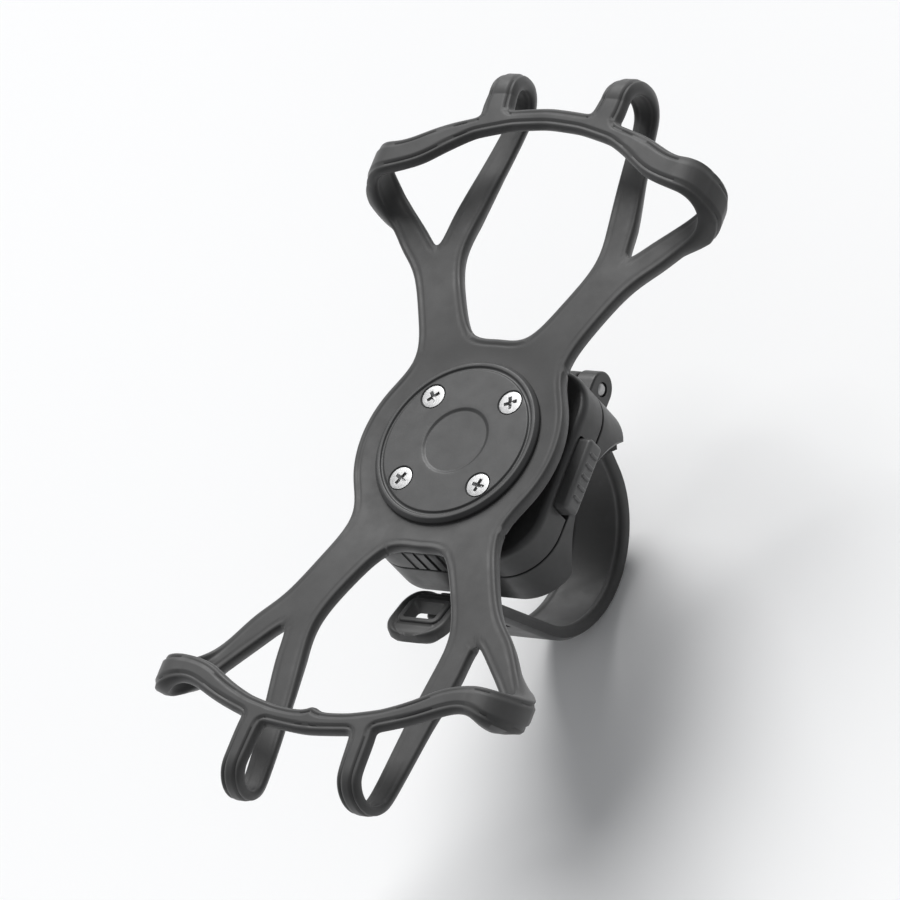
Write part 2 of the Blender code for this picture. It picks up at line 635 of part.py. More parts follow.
def build_pad():
    """Rubber pad between the saddle and the bar, with a flat land along its crown."""
    steps = 9
    crown = degrees(atan2(PAD_CROWN_HALF, BAR_RADIUS))
    angles = [radians(mixed(crown, PAD_SPREAD, k / steps)) for k in range(steps + 1)]
    inner_radius = BAR_RADIUS / cos(radians(crown))
    outer_radius = BAR_RADIUS + PAD_THICKNESS
    right_inner = [(inner_radius * sin(a), inner_radius * cos(a)) for a in angles]
    right_outer = [(outer_radius * sin(a), outer_radius * cos(a)) for a in angles]
    left_inner = [(-y, z) for y, z in right_inner]
    left_outer = [(-y, z) for y, z in right_outer]
    top = [(0.0, outer_radius)]
    outline = left_inner[::-1] + right_inner + right_outer[::-1] + top + left_outer
    mesh_object("saddle_pad", along_x(prism(outline, -PAD_HALF_X, PAD_HALF_X)), RUBBER, MOUNT)


# ---------------------------------------------------------------- release button, lock plate and springs


def build_release():
    """The button and the lock plate it carries. The plate's window holds the spigot by its groove."""
    outline = rounded_rectangle(LOCK_X, (-LOCK_HALF_Y, LOCK_HALF_Y), 2 * MM, 3)
    plate = mesh_object("lock_plate", prism(outline, *PLATE_Z), STEEL, MOUNT)
    window = cylinder(WINDOW_RADIUS, PLATE_Z[0] - 1 * MM, PLATE_Z[1] + 1 * MM, 40)
    window = moved(window, Matrix.Translation((RELEASE_TRAVEL, 0, 0)))
    boolean(plate, cutter("cut_window", window), "DIFFERENCE")
    for k, side in enumerate((1, -1)):
        y = (side * LOCK_SPRING_Y - 1.2 * MM, side * LOCK_SPRING_Y + 1.2 * MM)
        notch = box((LOCK_X[0] - 1 * MM, LOCK_SPRING_X[1] + 0.1 * MM), y, (20 * MM, 25 * MM))
        boolean(plate, cutter(f"cut_spring_notch_{k + 1}", notch), "DIFFERENCE")
        start = (LOCK_SPRING_X[0], side * LOCK_SPRING_Y, 22.45 * MM)
        end = (LOCK_SPRING_X[1], side * LOCK_SPRING_Y, 22.45 * MM)
        coil(f"lock_spring_{k + 1}", start, end, 0.75 * MM, 0.17 * MM, 6)

    cap = box((BUTTON_INNER_X, BUTTON_FACE_X), (-BUTTON_HALF_Y, BUTTON_HALF_Y), BUTTON_Z, 0.7 * MM, 2)
    button = mesh_object("release_button", cap, ACCENT, MOUNT)
    flange = box((13.9 * MM, 15.5 * MM), (-8.8 * MM, 8.8 * MM), (21.65 * MM, 23.35 * MM))
    boolean(button, cutter("add_button_flange", flange), "UNION")
    seat = box((12 * MM, LOCK_X[1] + 0.25 * MM), (-9.6 * MM, 9.6 * MM), (21.4 * MM, 23.5 * MM))
    boolean(button, cutter("cut_plate_seat", seat), "DIFFERENCE")


def build_detents():
    for k, side in enumerate((1, -1)):
        bm = bmesh.new()
        place = Matrix.Translation((0, side * DETENT_CIRCLE, BALL_Z))
        bmesh.ops.create_uvsphere(bm, u_segments=16, v_segments=10, radius=BALL_RADIUS, matrix=place)
        mesh_object(f"detent_ball_{k + 1}", bm, STEEL, MOUNT)
        start, end = ((0, side * DETENT_CIRCLE, z) for z in DETENT_SPRING_Z)
        coil(f"detent_spring_{k + 1}", start, end, 1.3 * MM, 0.2 * MM, 4)


# ---------------------------------------------------------------- strap


def strap_path():
    """The strap's middle line from its pin round the bar to its tip, as (y, z, heading in degrees)."""
    radius = BAR_RADIUS + STRAP_THICKNESS / 2 + 0.05 * MM

    def tangent_angle(y, z):
        return degrees(atan2(z, y) - acos(radius / sqrt(y * y + z * z)))

    first = tangent_angle(STRAP_PIN_Y, STRAP_PIN_Z)
    last = -180 - tangent_angle(-HOOK_Y, HOOK_Z)
    path = [(STRAP_PIN_Y, STRAP_PIN_Z, first - 90)]
    steps = 22
    for k in range(steps + 1):
        angle = mixed(first, last, k / steps)
        path.append((radius * cos(radians(angle)), radius * sin(radians(angle)), angle - 90))
    heading = path[-1][2]
    y, z = HOOK_Y, HOOK_Z
    path.append((y, z, heading))
    lead, bend, turn, bend_steps = 3.0 * MM, 9.0 * MM, 52.0, 6
    y, z = y + lead * cos(radians(heading)), z + lead * sin(radians(heading))
    path.append((y, z, heading))
    for k in range(bend_steps):
        step = radians(turn / bend_steps)
        heading += turn / bend_steps
        chord = 2 * bend * sin(step / 2)
        middle = radians(heading) - step / 2
        y, z = y + chord * cos(middle), z + chord * sin(middle)
        path.append((y, z, heading))
    tail = 7.0 * MM
    path.append((y + tail * cos(radians(heading)), z + tail * sin(radians(heading)), heading))
    return path


def offset_path(path, distance):
    return [(y - distance * sin(radians(h)), z + distance * cos(radians(h))) for y, z, h in path]


def stepped_back(place, distance):
    """A place on a straight stretch of the path, this far before another."""
    y, z, heading = place
    return (y - distance * cos(radians(heading)), z - distance * sin(radians(heading)), heading)


def build_strap():
    path = strap_path()
    half = STRAP_THICKNESS / 2
    outline = offset_path(path, half) + offset_path(path, -half)[::-1]
    band = prism(outline, -STRAP_HALF_WIDTH, STRAP_HALF_WIDTH)
    bmesh.ops.recalc_face_normals(band, faces=band.faces)
    strap = mesh_object("strap", along_x(band), SILICONE, MOUNT)
    at_pin = Matrix.Translation((0, STRAP_PIN_Y, STRAP_PIN_Z))
    eye_x = STRAP_HALF_WIDTH - 0.05 * MM
    eye = moved(along_x(cylinder(STRAP_EYE_RADIUS, -eye_x, eye_x, 28)), at_pin)
    boolean(strap, cutter("add_strap_eye", eye), "UNION")
    bore = moved(along_x(cylinder(STRAP_PIN_RADIUS + RUNNING_GAP, -14 * MM, 14 * MM, 24)), at_pin)
    boolean(strap, cutter("cut_strap_eye", bore), "DIFFERENCE")
    hook = next(p for p in path if p[0] == HOOK_Y)
    slots = (hook, stepped_back(hook, HOLE_PITCH), stepped_back(path[-1], 6 * MM))
    for k, (y, z, heading) in enumerate(slots):
        slot = box((-3.3 * MM, 3.3 * MM), (-2.1 * MM, 2.1 * MM), (-4 * MM, 4 * MM))
        place = Matrix.Translation((0, y, z)) @ Matrix.Rotation(radians(heading), 4, "X")
        boolean(strap, cutter(f"cut_strap_slot_{k + 1}", moved(slot, place)), "DIFFERENCE")
    pin = moved(along_x(cylinder(STRAP_PIN_RADIUS, -EAR_X[1], EAR_X[1], 24)), at_pin)
    mesh_object("strap_pin", pin, STEEL, MOUNT)


# ---------------------------------------------------------------- build


def settle():
    """Moves every part from heights counted from the bar's axis to the frame's origin on the bar's crown."""
    for obj in [*MOUNT.objects, *CUTTERS.objects]:
        obj.location.z -= BAR_RADIUS


clear_scene()
MOUNT = collection("phone_mount")
CUTTERS = collection("phone_mount_cutters", hidden=True)
build_cradle()
build_front_plate()
build_spigot()
build_housing()
build_saddle()
build_pad()
build_release()
build_detents()
build_strap()
settle()
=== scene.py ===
"""Looks of the handlebar phone mount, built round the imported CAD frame.

Heights in the builders below are counted from the bar's axis, as in the CAD source. piece() drops every mesh to
the frame's origin on the bar's crown. Lengths are in metres.
"""

from math import acos, atan2, cos, degrees, pi, radians, sin, sqrt

import bmesh
import bpy
import numpy as np
from mathutils import Matrix, Vector, kdtree


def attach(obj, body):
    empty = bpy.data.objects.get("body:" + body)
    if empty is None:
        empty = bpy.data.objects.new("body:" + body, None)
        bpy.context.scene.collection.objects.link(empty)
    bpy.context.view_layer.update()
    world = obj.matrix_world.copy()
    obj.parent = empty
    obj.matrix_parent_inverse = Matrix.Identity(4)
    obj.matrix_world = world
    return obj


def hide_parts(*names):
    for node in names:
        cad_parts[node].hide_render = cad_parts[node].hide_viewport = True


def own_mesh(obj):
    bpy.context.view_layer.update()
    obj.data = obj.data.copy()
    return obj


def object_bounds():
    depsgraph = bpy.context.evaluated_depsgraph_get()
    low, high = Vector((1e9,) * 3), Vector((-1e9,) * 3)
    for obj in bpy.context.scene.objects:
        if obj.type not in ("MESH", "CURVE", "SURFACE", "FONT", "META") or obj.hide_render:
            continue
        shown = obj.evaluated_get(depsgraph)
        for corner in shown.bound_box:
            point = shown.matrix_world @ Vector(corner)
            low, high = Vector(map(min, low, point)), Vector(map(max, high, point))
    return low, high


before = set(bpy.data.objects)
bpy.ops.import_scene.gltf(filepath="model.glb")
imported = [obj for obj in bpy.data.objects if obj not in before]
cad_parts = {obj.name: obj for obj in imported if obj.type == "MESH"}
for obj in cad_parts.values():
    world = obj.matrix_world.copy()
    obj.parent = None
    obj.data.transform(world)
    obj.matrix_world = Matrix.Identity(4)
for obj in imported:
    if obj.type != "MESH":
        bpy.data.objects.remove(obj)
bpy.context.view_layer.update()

MM = 0.001
BAR_RADIUS = 15.9 * MM
TO_FRAME = Matrix.Translation((0, 0, -BAR_RADIUS))

# What the mount holds.
PHONE_WIDTH = 67.3 * MM
PHONE_LENGTH = 138.4 * MM
PHONE_THICKNESS = 7.3 * MM
PHONE_BACK_Z = 32.0 * MM
PHONE_DROP = 1.6 * MM

# Silicone web.
SKIN_GAP = 0.15 * MM
ARM_THICKNESS = 2.8 * MM
LUG_ANGLES = (-90, -55, -18, 18, 55, 90)
LUG_END_X = (25.5 * MM, 22.0 * MM, 18.5 * MM)
BAND_THICKNESS = 2.0 * MM
PRONG_ANGLES = (-90, -50, -10, 30, 65, 90)
EDGE_SPREAD = 1.06
HUB_TOP_Z = 30.8 * MM
HUB_HOLE_RADIUS = 6.5 * MM
HUB_FLAT_RADIUS = 17.5 * MM
HUB_RADIUS = 21.0 * MM
ARM_ANGLE = 60.0
ARM_ROOT_SPREAD = 13.0
BAND_HALF_WIDTH = 1.95 * MM
PRONG_X = 11.0 * MM
PRONG_EDGE_X = 12.3 * MM
TOP_BOW = {
    "side": 1,
    "crest": 59.8 * MM,
    "arc_radius": 45.0 * MM,
    "lug": (43.2 * MM, 48.8 * MM, 50.6 * MM),
    "lug_half": (3.2 * MM, 3.7 * MM, 3.1 * MM),
    "lug_end": (3.1 * MM, 2.8 * MM, 2.4 * MM),
    "lug_thick": (2.8 * MM, 4.1 * MM, 3.9 * MM, 2.4 * MM, 2.1 * MM, 2.0 * MM),
    "prong_half": 2.8 * MM,
    "prong_thick": (1.8 * MM, 2.0 * MM, 2.6 * MM, 2.8 * MM, 2.5 * MM, 2.0 * MM),
    "peak": 0.0,
}
BOTTOM_BOW = {
    "side": -1,
    "crest": 59.7 * MM,
    "arc_radius": 50.0 * MM,
    "lug": (44.6 * MM, 52.1 * MM, 51.9 * MM),
    "lug_half": (3.2 * MM, 3.7 * MM, 2.5 * MM),
    "lug_end": (2.5 * MM, 2.3 * MM, 2.1 * MM),
    "lug_thick": (2.8 * MM, 4.0 * MM, 4.1 * MM, 3.3 * MM, 2.8 * MM, 2.1 * MM),
    "prong_half": 2.2 * MM,
    "prong_thick": (1.8 * MM, 1.8 * MM, 1.9 * MM, 1.9 * MM, 2.0 * MM, 2.0 * MM),
    "peak": 1.5 * MM,
}

# Strap.
STRAP_THICKNESS = 2.6 * MM
STRAP_HALF_WIDTH = 6.2 * MM
STRAP_PIN_Y = 22.4 * MM
STRAP_PIN_Z = 12.5 * MM
STRAP_PIN_RADIUS = 1.2 * MM
STRAP_EYE_RADIUS = 2.9 * MM
HOOK_Y = -21.7 * MM
HOOK_Z = 12.5 * MM
HOLE_PITCH = 8.0 * MM
EAR_X = (6.7 * MM, 10.7 * MM)
EAR_RADIUS = 3.2 * MM
JUNCTION = 1.5 * MM  # from a T-junction's corner to the next section of its bands


# ---------------------------------------------------------------- materials


def shader_tree(name):
    made = bpy.data.materials.new(name)
    made.use_nodes = True
    tree = made.node_tree
    return made, tree, tree.nodes["Principled BSDF"]


def node(tree, kind, inputs=None, **settings):
    made = tree.nodes.new(kind)
    for key, value in settings.items():
        setattr(made, key, value)
    for key, value in (inputs or {}).items():
        socket = made.inputs[key]
        if hasattr(value, "is_output"):
            tree.links.new(value, socket)
        else:
            socket.default_value = value
    return made


def noise(tree, scale, detail=3.0, roughness=0.5, stretch=None):
    where = node(tree, "ShaderNodeTexCoord").outputs["Object"]
    if stretch:
        where = node(tree, "ShaderNodeMapping", {"Vector": where, "Scale": stretch}).outputs[0]
    made = node(
        tree,
        "ShaderNodeTexNoise",
        {"Vector": where, "Scale": scale, "Detail": detail, "Roughness": roughness},
    )
    return made.outputs["Fac"]


def spread(tree, value, low, high, from_low=0.3, from_high=0.7):
    inputs = {"Value": value, "From Min": from_low, "From Max": from_high, "To Min": low, "To Max": high}
    return node(tree, "ShaderNodeMapRange", inputs).outputs["Result"]


def mix_colour(tree, share, first, second):
    made = node(tree, "ShaderNodeMix", data_type="RGBA")
    for socket, value in ((0, share), (6, first), (7, second)):
        if hasattr(value, "is_output"):
            tree.links.new(value, made.inputs[socket])
        else:
            made.inputs[socket].default_value = value
    return made.outputs[2]


def grey(value, warm=0.0):
    return (value * (1 + warm), value, value * (1 - warm), 1.0)


def bump(tree, shader, layers):
    """Bump layers of (height, strength, distance), fine over coarse."""
    normal = None
    for height, strength, distance in layers:
        inputs = {"Height": height, "Strength": strength, "Distance": distance}
        if normal is not None:
            inputs["Normal"] = normal
        normal = node(tree, "ShaderNodeBump", inputs).outputs["Normal"]
    tree.links.new(normal, shader.inputs["Normal"])


def worn_edges(tree, radius):
    """Up to 1 along edges, broken up by noise, and 0 on flats: where a rounded normal leaves the true one."""
    soft = node(tree, "ShaderNodeBevel", {"Radius": radius}, samples=4).outputs["Normal"]
    true = node(tree, "ShaderNodeNewGeometry").outputs["Normal"]
    alike = node(tree, "ShaderNodeVectorMath", {0: soft, 1: true}, operation="DOT_PRODUCT").outputs["Value"]
    edge = spread(tree, alike, 1.0, 0.0, 0.9, 0.995)
    patches = spread(tree, noise(tree, 700.0, 3.0, 0.6), 0.25, 1.0)
    return node(tree, "ShaderNodeMath", {0: edge, 1: patches}, operation="MULTIPLY").outputs["Value"]


def silicone_material(name, base, warm=0.01):
    made, tree, shader = shader_tree(name)
    cloudy = noise(tree, 90.0, 4.0, 0.6)
    speck = noise(tree, 3800.0, 2.0, 0.5)
    colour = mix_colour(tree, spread(tree, cloudy, 0, 1), grey(base * 0.86, warm), grey(base * 1.16, warm))
    colour = mix_colour(tree, spread(tree, speck, 0, 0.3, 0.6, 0.75), colour, grey(base * 1.5, warm))
    tree.links.new(colour, shader.inputs["Base Color"])
    rough = spread(tree, noise(tree, 220.0, 5.0, 0.65), 0.46, 0.62)
    tree.links.new(rough, shader.inputs["Roughness"])
    shader.inputs["Sheen Weight"].default_value = 0.18
    shader.inputs["Sheen Roughness"].default_value = 0.55
    shader.inputs["IOR"].default_value = 1.42
    bump(tree, shader, [(noise(tree, 420.0, 3.0), 0.25, 0.04 * MM), (noise(tree, 5200.0, 2.0), 0.35, 0.015 * MM)])
    return made


def plastic_material(name, base, rough=(0.36, 0.5), grain=3600.0, warm=0.0):
    made, tree, shader = shader_tree(name)
    cloudy = noise(tree, 120.0, 3.0, 0.6)
    colour = mix_colour(tree, spread(tree, cloudy, 0, 1), grey(base * 0.9, warm), grey(base * 1.12, warm))
    colour = mix_colour(tree, worn_edges(tree, 0.18 * MM), colour, grey(base * 2.2, warm))
    tree.links.new(colour, shader.inputs["Base Color"])
    tree.links.new(spread(tree, noise(tree, 300.0, 4.0, 0.7), *rough), shader.inputs["Roughness"])
    bump(tree, shader, [(noise(tree, grain, 3.0, 0.6), 0.45, 0.02 * MM)])
    return made


def rubber_material(name, base):
    made, tree, shader = shader_tree(name)
    colour = mix_colour(tree, spread(tree, noise(tree, 150.0, 4.0), 0, 1), grey(base * 0.8), grey(base * 1.3))
    tree.links.new(colour, shader.inputs["Base Color"])
    tree.links.new(spread(tree, noise(tree, 500.0, 3.0), 0.68, 0.85), shader.inputs["Roughness"])
    bump(tree, shader, [(noise(tree, 2600.0, 3.0), 0.6, 0.03 * MM)])
    return made


def steel_material(name, base, stretch, rough=(0.24, 0.33)):
    made, tree, shader = shader_tree(name)
    lines = noise(tree, 1100.0, 2.0, 0.5, stretch)
    colour = mix_colour(tree, spread(tree, lines, 0, 1), grey(base * 0.95), grey(base * 1.02))
    tree.links.new(colour, shader.inputs["Base Color"])
    tree.links.new(spread(tree, lines, *rough), shader.inputs["Roughness"])
    shader.inputs["Metallic"].default_value = 1.0
    bump(tree, shader, [(lines, 0.05, 0.004 * MM)])
    return made


SILICONE = silicone_material("silicone_web", 0.037)
STRAP_SILICONE = silicone_material("silicone_strap", 0.035)
PLASTIC = plastic_material("base_plastic", 0.030)
PLATE_PLASTIC = plastic_material("plate_plastic", 0.036, (0.42, 0.56), 4200.0)
ACETAL = plastic_material("spigot_acetal", 0.11, (0.26, 0.38), 6000.0, 0.01)
BUTTON = plastic_material("button_plastic", 0.075, (0.38, 0.5), 3200.0)
RUBBER = rubber_material("pad_rubber", 0.024)
STEEL = steel_material("screw_steel", 0.36, (1, 1, 0.08), (0.3, 0.4))
SHEET_STEEL = steel_material("lock_steel", 0.56, (0.06, 1, 1))
WIRE = steel_material("spring_wire", 0.5, (1, 1, 1), (0.24, 0.34))


# ---------------------------------------------------------------- mesh helpers

HUB_SCREWS = [(11.5 * MM * cos(radians(a)), 11.5 * MM * sin(radians(a))) for a in (45, 135, 225, 315)]


def piece(name, bm, material, body, slot, nodes=(), crease=35):
    """A finished object from a bmesh: dropped to the frame, shaded, riding on its body and standing for its nodes."""
    bmesh.ops.recalc_face_normals(bm, faces=bm.faces)
    bm.transform(TO_FRAME)
    mesh = bpy.data.meshes.new(name)
    bm.to_mesh(mesh)
    bm.free()
    mesh.materials.append(material)
    mesh.shade_smooth()
    if crease:
        mesh.set_sharp_from_angle(angle=radians(crease))
    obj = bpy.data.objects.new(name, mesh)
    if slot not in ("silicone", "spring_steel"):
        normals = obj.modifiers.new("normals", "WEIGHTED_NORMAL")
        normals.keep_sharp = True
    bpy.context.scene.collection.objects.link(obj)
    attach(obj, body)
    if nodes:
        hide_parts(*nodes)
    return obj


def baked(obj):
    """Applies the object's modifiers to its mesh."""
    depsgraph = bpy.context.evaluated_depsgraph_get()
    depsgraph.update()
    evaluated = obj.evaluated_get(depsgraph)
    mesh = bpy.data.meshes.new_from_object(evaluated, preserve_all_data_layers=True, depsgraph=depsgraph)
    obj.modifiers.clear()
    obj.data = mesh
    return mesh


def boolean_bm(bm, cutters, operation="DIFFERENCE"):
    """The bmesh after exact booleans with other bmeshes, all in builder heights."""
    mesh = bpy.data.meshes.new("work")
    bm.to_mesh(mesh)
    bm.free()
    obj = bpy.data.objects.new("work", mesh)
    bpy.context.scene.collection.objects.link(obj)
    tools = []
    for cutter in cutters:
        tool_mesh = bpy.data.meshes.new("tool")
        cutter.to_mesh(tool_mesh)
        cutter.free()
        tool = bpy.data.objects.new("tool", tool_mesh)
        bpy.context.scene.collection.objects.link(tool)
        tools.append(tool)
        step = obj.modifiers.new("step", "BOOLEAN")
        step.operation = operation
        step.object = tool
    result = baked(obj)
    made = bmesh.new()
    made.from_mesh(result)
    for tool in [*tools, obj]:
        bpy.data.objects.remove(tool)
    bmesh.ops.remove_doubles(made, verts=made.verts, dist=0.002 * MM)
    return made


def rounded(obj, width, segments=3, angle=38):
    """Small rounded edges, applied."""
    edge = obj.modifiers.new("edges", "BEVEL")
    edge.width = width
    edge.segments = segments
    edge.limit_method = "ANGLE"
    edge.angle_limit = radians(angle)
    edge.harden_normals = False
    edge.use_clamp_overlap = True
    mesh = baked(obj)
    mesh.shade_smooth()
    mesh.set_sharp_from_angle(angle=radians(50))
    return obj


def cylinder(radius, low, high, segments=64, top_radius=None):
    bm = bmesh.new()
    bmesh.ops.create_cone(
        bm,
        cap_ends=True,
        segments=segments,
        radius1=radius,
        radius2=radius if top_radius is None else top_radius,
        depth=high - low,
        matrix=Matrix.Translation((0, 0, (low + high) / 2)),
    )
    return bm


def moved(bm, matrix):
    bmesh.ops.transform(bm, matrix=matrix, verts=bm.verts)
    return bm


def shifted(bm, x=0.0, y=0.0, z=0.0):
    return moved(bm, Matrix.Translation((x, y, z)))


def along_x(bm):
    """Turns a bmesh made about Z so that it runs about X, with its +X turned to +Y and its +Y to +Z."""
    return moved(bm, Matrix(((0, 0, 1, 0), (1, 0, 0, 0), (0, 1, 0, 0), (0, 0, 0, 1))))


def box(x, y, z, bevel=0.0, segments=3):
    bm = bmesh.new()
    size = [hi - lo for lo, hi in (x, y, z)]
    centre = [(hi + lo) / 2 for lo, hi in (x, y, z)]
    bmesh.ops.create_cube(bm, size=1.0)
    moved(bm, Matrix.Translation(centre) @ Matrix.Diagonal((*size, 1)))
    if bevel:
        bmesh.ops.bevel(bm, geom=bm.edges[:], offset=bevel, segments=segments, affect="EDGES", profile=0.5)
    return bm


def prism(outline, low, high):
    """A flat outline, counter-clockwise, extruded between two heights."""
    bm = bmesh.new()
    base = bm.faces.new([bm.verts.new((x, y, low)) for x, y in outline])
    top = bmesh.ops.extrude_face_region(bm, geom=[base])["geom"]
    for vert in (v for v in top if isinstance(v, bmesh.types.BMVert)):
        vert.co.z = high
    bmesh.ops.recalc_face_normals(bm, faces=bm.faces)
    return bm


def rounded_rectangle(x, y, radius, steps=14):
    points = []
    corners = ((x[1], y[1], 0), (x[0], y[1], 90), (x[0], y[0], 180), (x[1], y[0], 270))
    for cx, cy, start in corners:
        ox = cx - radius if cx == x[1] else cx + radius
        oy = cy - radius if cy == y[1] else cy + radius
        for step in range(steps + 1):
            angle = radians(start + 90 * step / steps)
            points.append((ox + radius * cos(angle), oy + radius * sin(angle)))
    return points


def revolve(profile, steps=96):
    """A solid of revolution about Z from (radius, height) points that start and end on the axis."""
    bm = bmesh.new()
    rings = []
    for radius, height in profile:
        if radius == 0:
            rings.append([bm.verts.new((0, 0, height))])
        else:
            angles = [2 * pi * k / steps for k in range(steps)]
            rings.append([bm.verts.new((radius * cos(a), radius * sin(a), height)) for a in angles])
    for near, far in zip(rings, rings[1:]):
        for k in range(steps):
            n = (k + 1) % steps
            if len(near) == 1:
                bm.faces.new((near[0], far[k], far[n]))
            elif len(far) == 1:
                bm.faces.new((near[k], near[n], far[0]))
            else:
                bm.faces.new((near[k], near[n], far[n], far[k]))
    bmesh.ops.recalc_face_normals(bm, faces=bm.faces)
    return bm


def ring_positions(radius, count, first=0.0):
    angles = [radians(first + 360 * k / count) for k in range(count)]
    return [(radius * cos(a), radius * sin(a)) for a in angles]


def mixed(a, b, share):
    return a + (b - a) * share


def through(values, share):
    """A smooth change through three values at shares 0, 0.5 and 1."""
    first, middle, last = values
    control = 2 * middle - (first + last) / 2
    return mixed(mixed(first, control, share), mixed(control, last, share), share)


# ---------------------------------------------------------------- moulded silicone sheets

THICKEST = 6 * MM  # the thickness that a vertex weight of 1 stands for


class Sheet:
    """A cage of quads on the inner surface of a moulded silicone part, with a thickness at each point."""

    def __init__(self):
        self.bm = bmesh.new()
        self.group = self.bm.verts.layers.deform.verify()

    def strip(self, stations, flip_x=1, flip_y=1):
        """Quads between stations, each a list of (x, y, z, thickness) across the band."""
        rows = []
        for station in stations:
            row = []
            for x, y, z, thickness in station:
                vert = self.bm.verts.new((x * flip_x, y * flip_y, z))
                vert[self.group][0] = thickness / THICKEST
                row.append(vert)
            rows.append(row)
        for near, far in zip(rows, rows[1:]):
            for k in range(min(len(near), len(far)) - 1):
                self.bm.faces.new((near[k], near[k + 1], far[k + 1], far[k]))

    def smoothed(self, levels):
        """Fine vertex positions, normals, thicknesses and quads after subdivision."""
        bm = self.bm
        bmesh.ops.remove_doubles(bm, verts=bm.verts, dist=0.01 * MM)
        bmesh.ops.recalc_face_normals(bm, faces=bm.faces)
        mesh = bpy.data.meshes.new("sheet")
        bm.to_mesh(mesh)
        bm.free()
        obj = bpy.data.objects.new("sheet", mesh)
        bpy.context.scene.collection.objects.link(obj)
        obj.vertex_groups.new(name="thickness")
        smooth = obj.modifiers.new("smooth", "SUBSURF")
        smooth.levels = levels
        smooth.render_levels = levels
        fine = baked(obj)
        bpy.data.objects.remove(obj)
        points = np.array([v.co for v in fine.vertices])
        normals = np.array([v.normal for v in fine.vertices])
        thick = np.array([v.groups[0].weight if v.groups else 0.0 for v in fine.vertices]) * THICKEST
        quads = [tuple(p.vertices) for p in fine.polygons]
        return points, normals, thick, quads


def border_edges(quads):
    """Directed edges that only one quad uses."""
    seen = {}
    for quad in quads:
        for a, b in zip(quad, quad[1:] + quad[:1]):
            key = (min(a, b), max(a, b))
            seen[key] = None if key in seen else (a, b)
    return [edge for edge in seen.values() if edge]


def border_distance(points, edges, samples=5):
    tree = kdtree.KDTree(len(edges) * samples)
    for a, b in edges:
        for k in range(samples):
            tree.insert(points[a] + (points[b] - points[a]) * (k / samples), 0)
    tree.balance()
    return np.array([tree.find(p)[2] for p in points])


def step_up(value, low, high):
    t = np.clip((value - low) / (high - low), 0, 1)
    return t * t * (3 - 2 * t)


def quarter_round(distance, radius):
    """0 at the border rising to 1 at radius from it, along a quarter circle."""
    return np.sqrt(np.clip(1 - (1 - np.minimum(distance, radius) / radius) ** 2, 0, 1))


def moulded_solid(sheet, outward, levels, rib, extra=None):
    """A closed bmesh from a sheet: rounded rims, a raised middle rib and a fine line where the rib starts.

    rib is (edge radius, start of the rib, width of its flank), all from the border. extra(points, distance) gives
    a further change of thickness. outward points away from the surface that the sheet lies on.
    """
    points, normals, thick, quads = sheet.smoothed(levels)
    middle = quads[len(quads) // 2]
    if outward(points[middle[0]]).dot(Vector(normals[middle[0]])) < 0:
        normals = -normals
        quads = [q[::-1] for q in quads]
    edges = border_edges(quads)
    distance = border_distance(points, edges)
    edge, start, flank = rib
    lift = 0.40 + 0.50 * quarter_round(distance, edge) + 0.10 * step_up(distance, start, start + flank)
    line = np.exp(-(((distance - start) / (0.5 * flank)) ** 2))
    top = thick * lift - 0.18 * MM * line
    if extra is not None:
        top += extra(points, distance)
    under = 0.25 * MM * (1 - quarter_round(distance, 0.45 * MM)) + 0.12 * MM * line
    outer = points + normals * top[:, None]
    inner = points + normals * under[:, None]
    bm = bmesh.new()
    up = [bm.verts.new(p) for p in outer]
    down = [bm.verts.new(p) for p in inner]
    for q in quads:
        bm.faces.new([up[i] for i in q])
        bm.faces.new([down[i] for i in reversed(q)])
    for a, b in edges:
        bm.faces.new((up[b], up[a], down[a], down[b]))
    return bm


def wrap(reach, along, angle, thickness, over_end):
    """A point on the phone's rounded edge: angle -90 is its back, 0 its side and 90 its front."""
    radius = PHONE_THICKNESS / 2 + SKIN_GAP
    if abs(angle) < 90:
        radius *= EDGE_SPREAD
    out = reach - PHONE_THICKNESS / 2 + radius * cos(radians(angle))
    z = PHONE_BACK_Z + PHONE_THICKNESS / 2 + radius * sin(radians(angle))
    return (along, out, z, thickness) if over_end else (out, along, z, thickness)


def arc_point(bow, x, offset, thickness):
    """A point on the bow's arc, offset from its centre line towards the phone's end."""
    radius = bow["arc_radius"]
    slope = atan2(x, sqrt(radius**2 - x**2))
    front = PHONE_BACK_Z + PHONE_THICKNESS + SKIN_GAP
    centre_y = bow["crest"] - radius
    reach = radius + offset
    return (reach * sin(slope), centre_y + reach * cos(slope), front, thickness)


def across(x, y, heading, half, z, thickness, middle=None):
    """A station square to a heading in degrees: left point, optional middle and right point."""
    nx, ny = -sin(radians(heading)), cos(radians(heading))
    left = (x + nx * half, y + ny * half, z, thickness)
    right = (x - nx * half, y - ny * half, z, thickness)
    return [left, right] if middle is None else [left, middle, right]


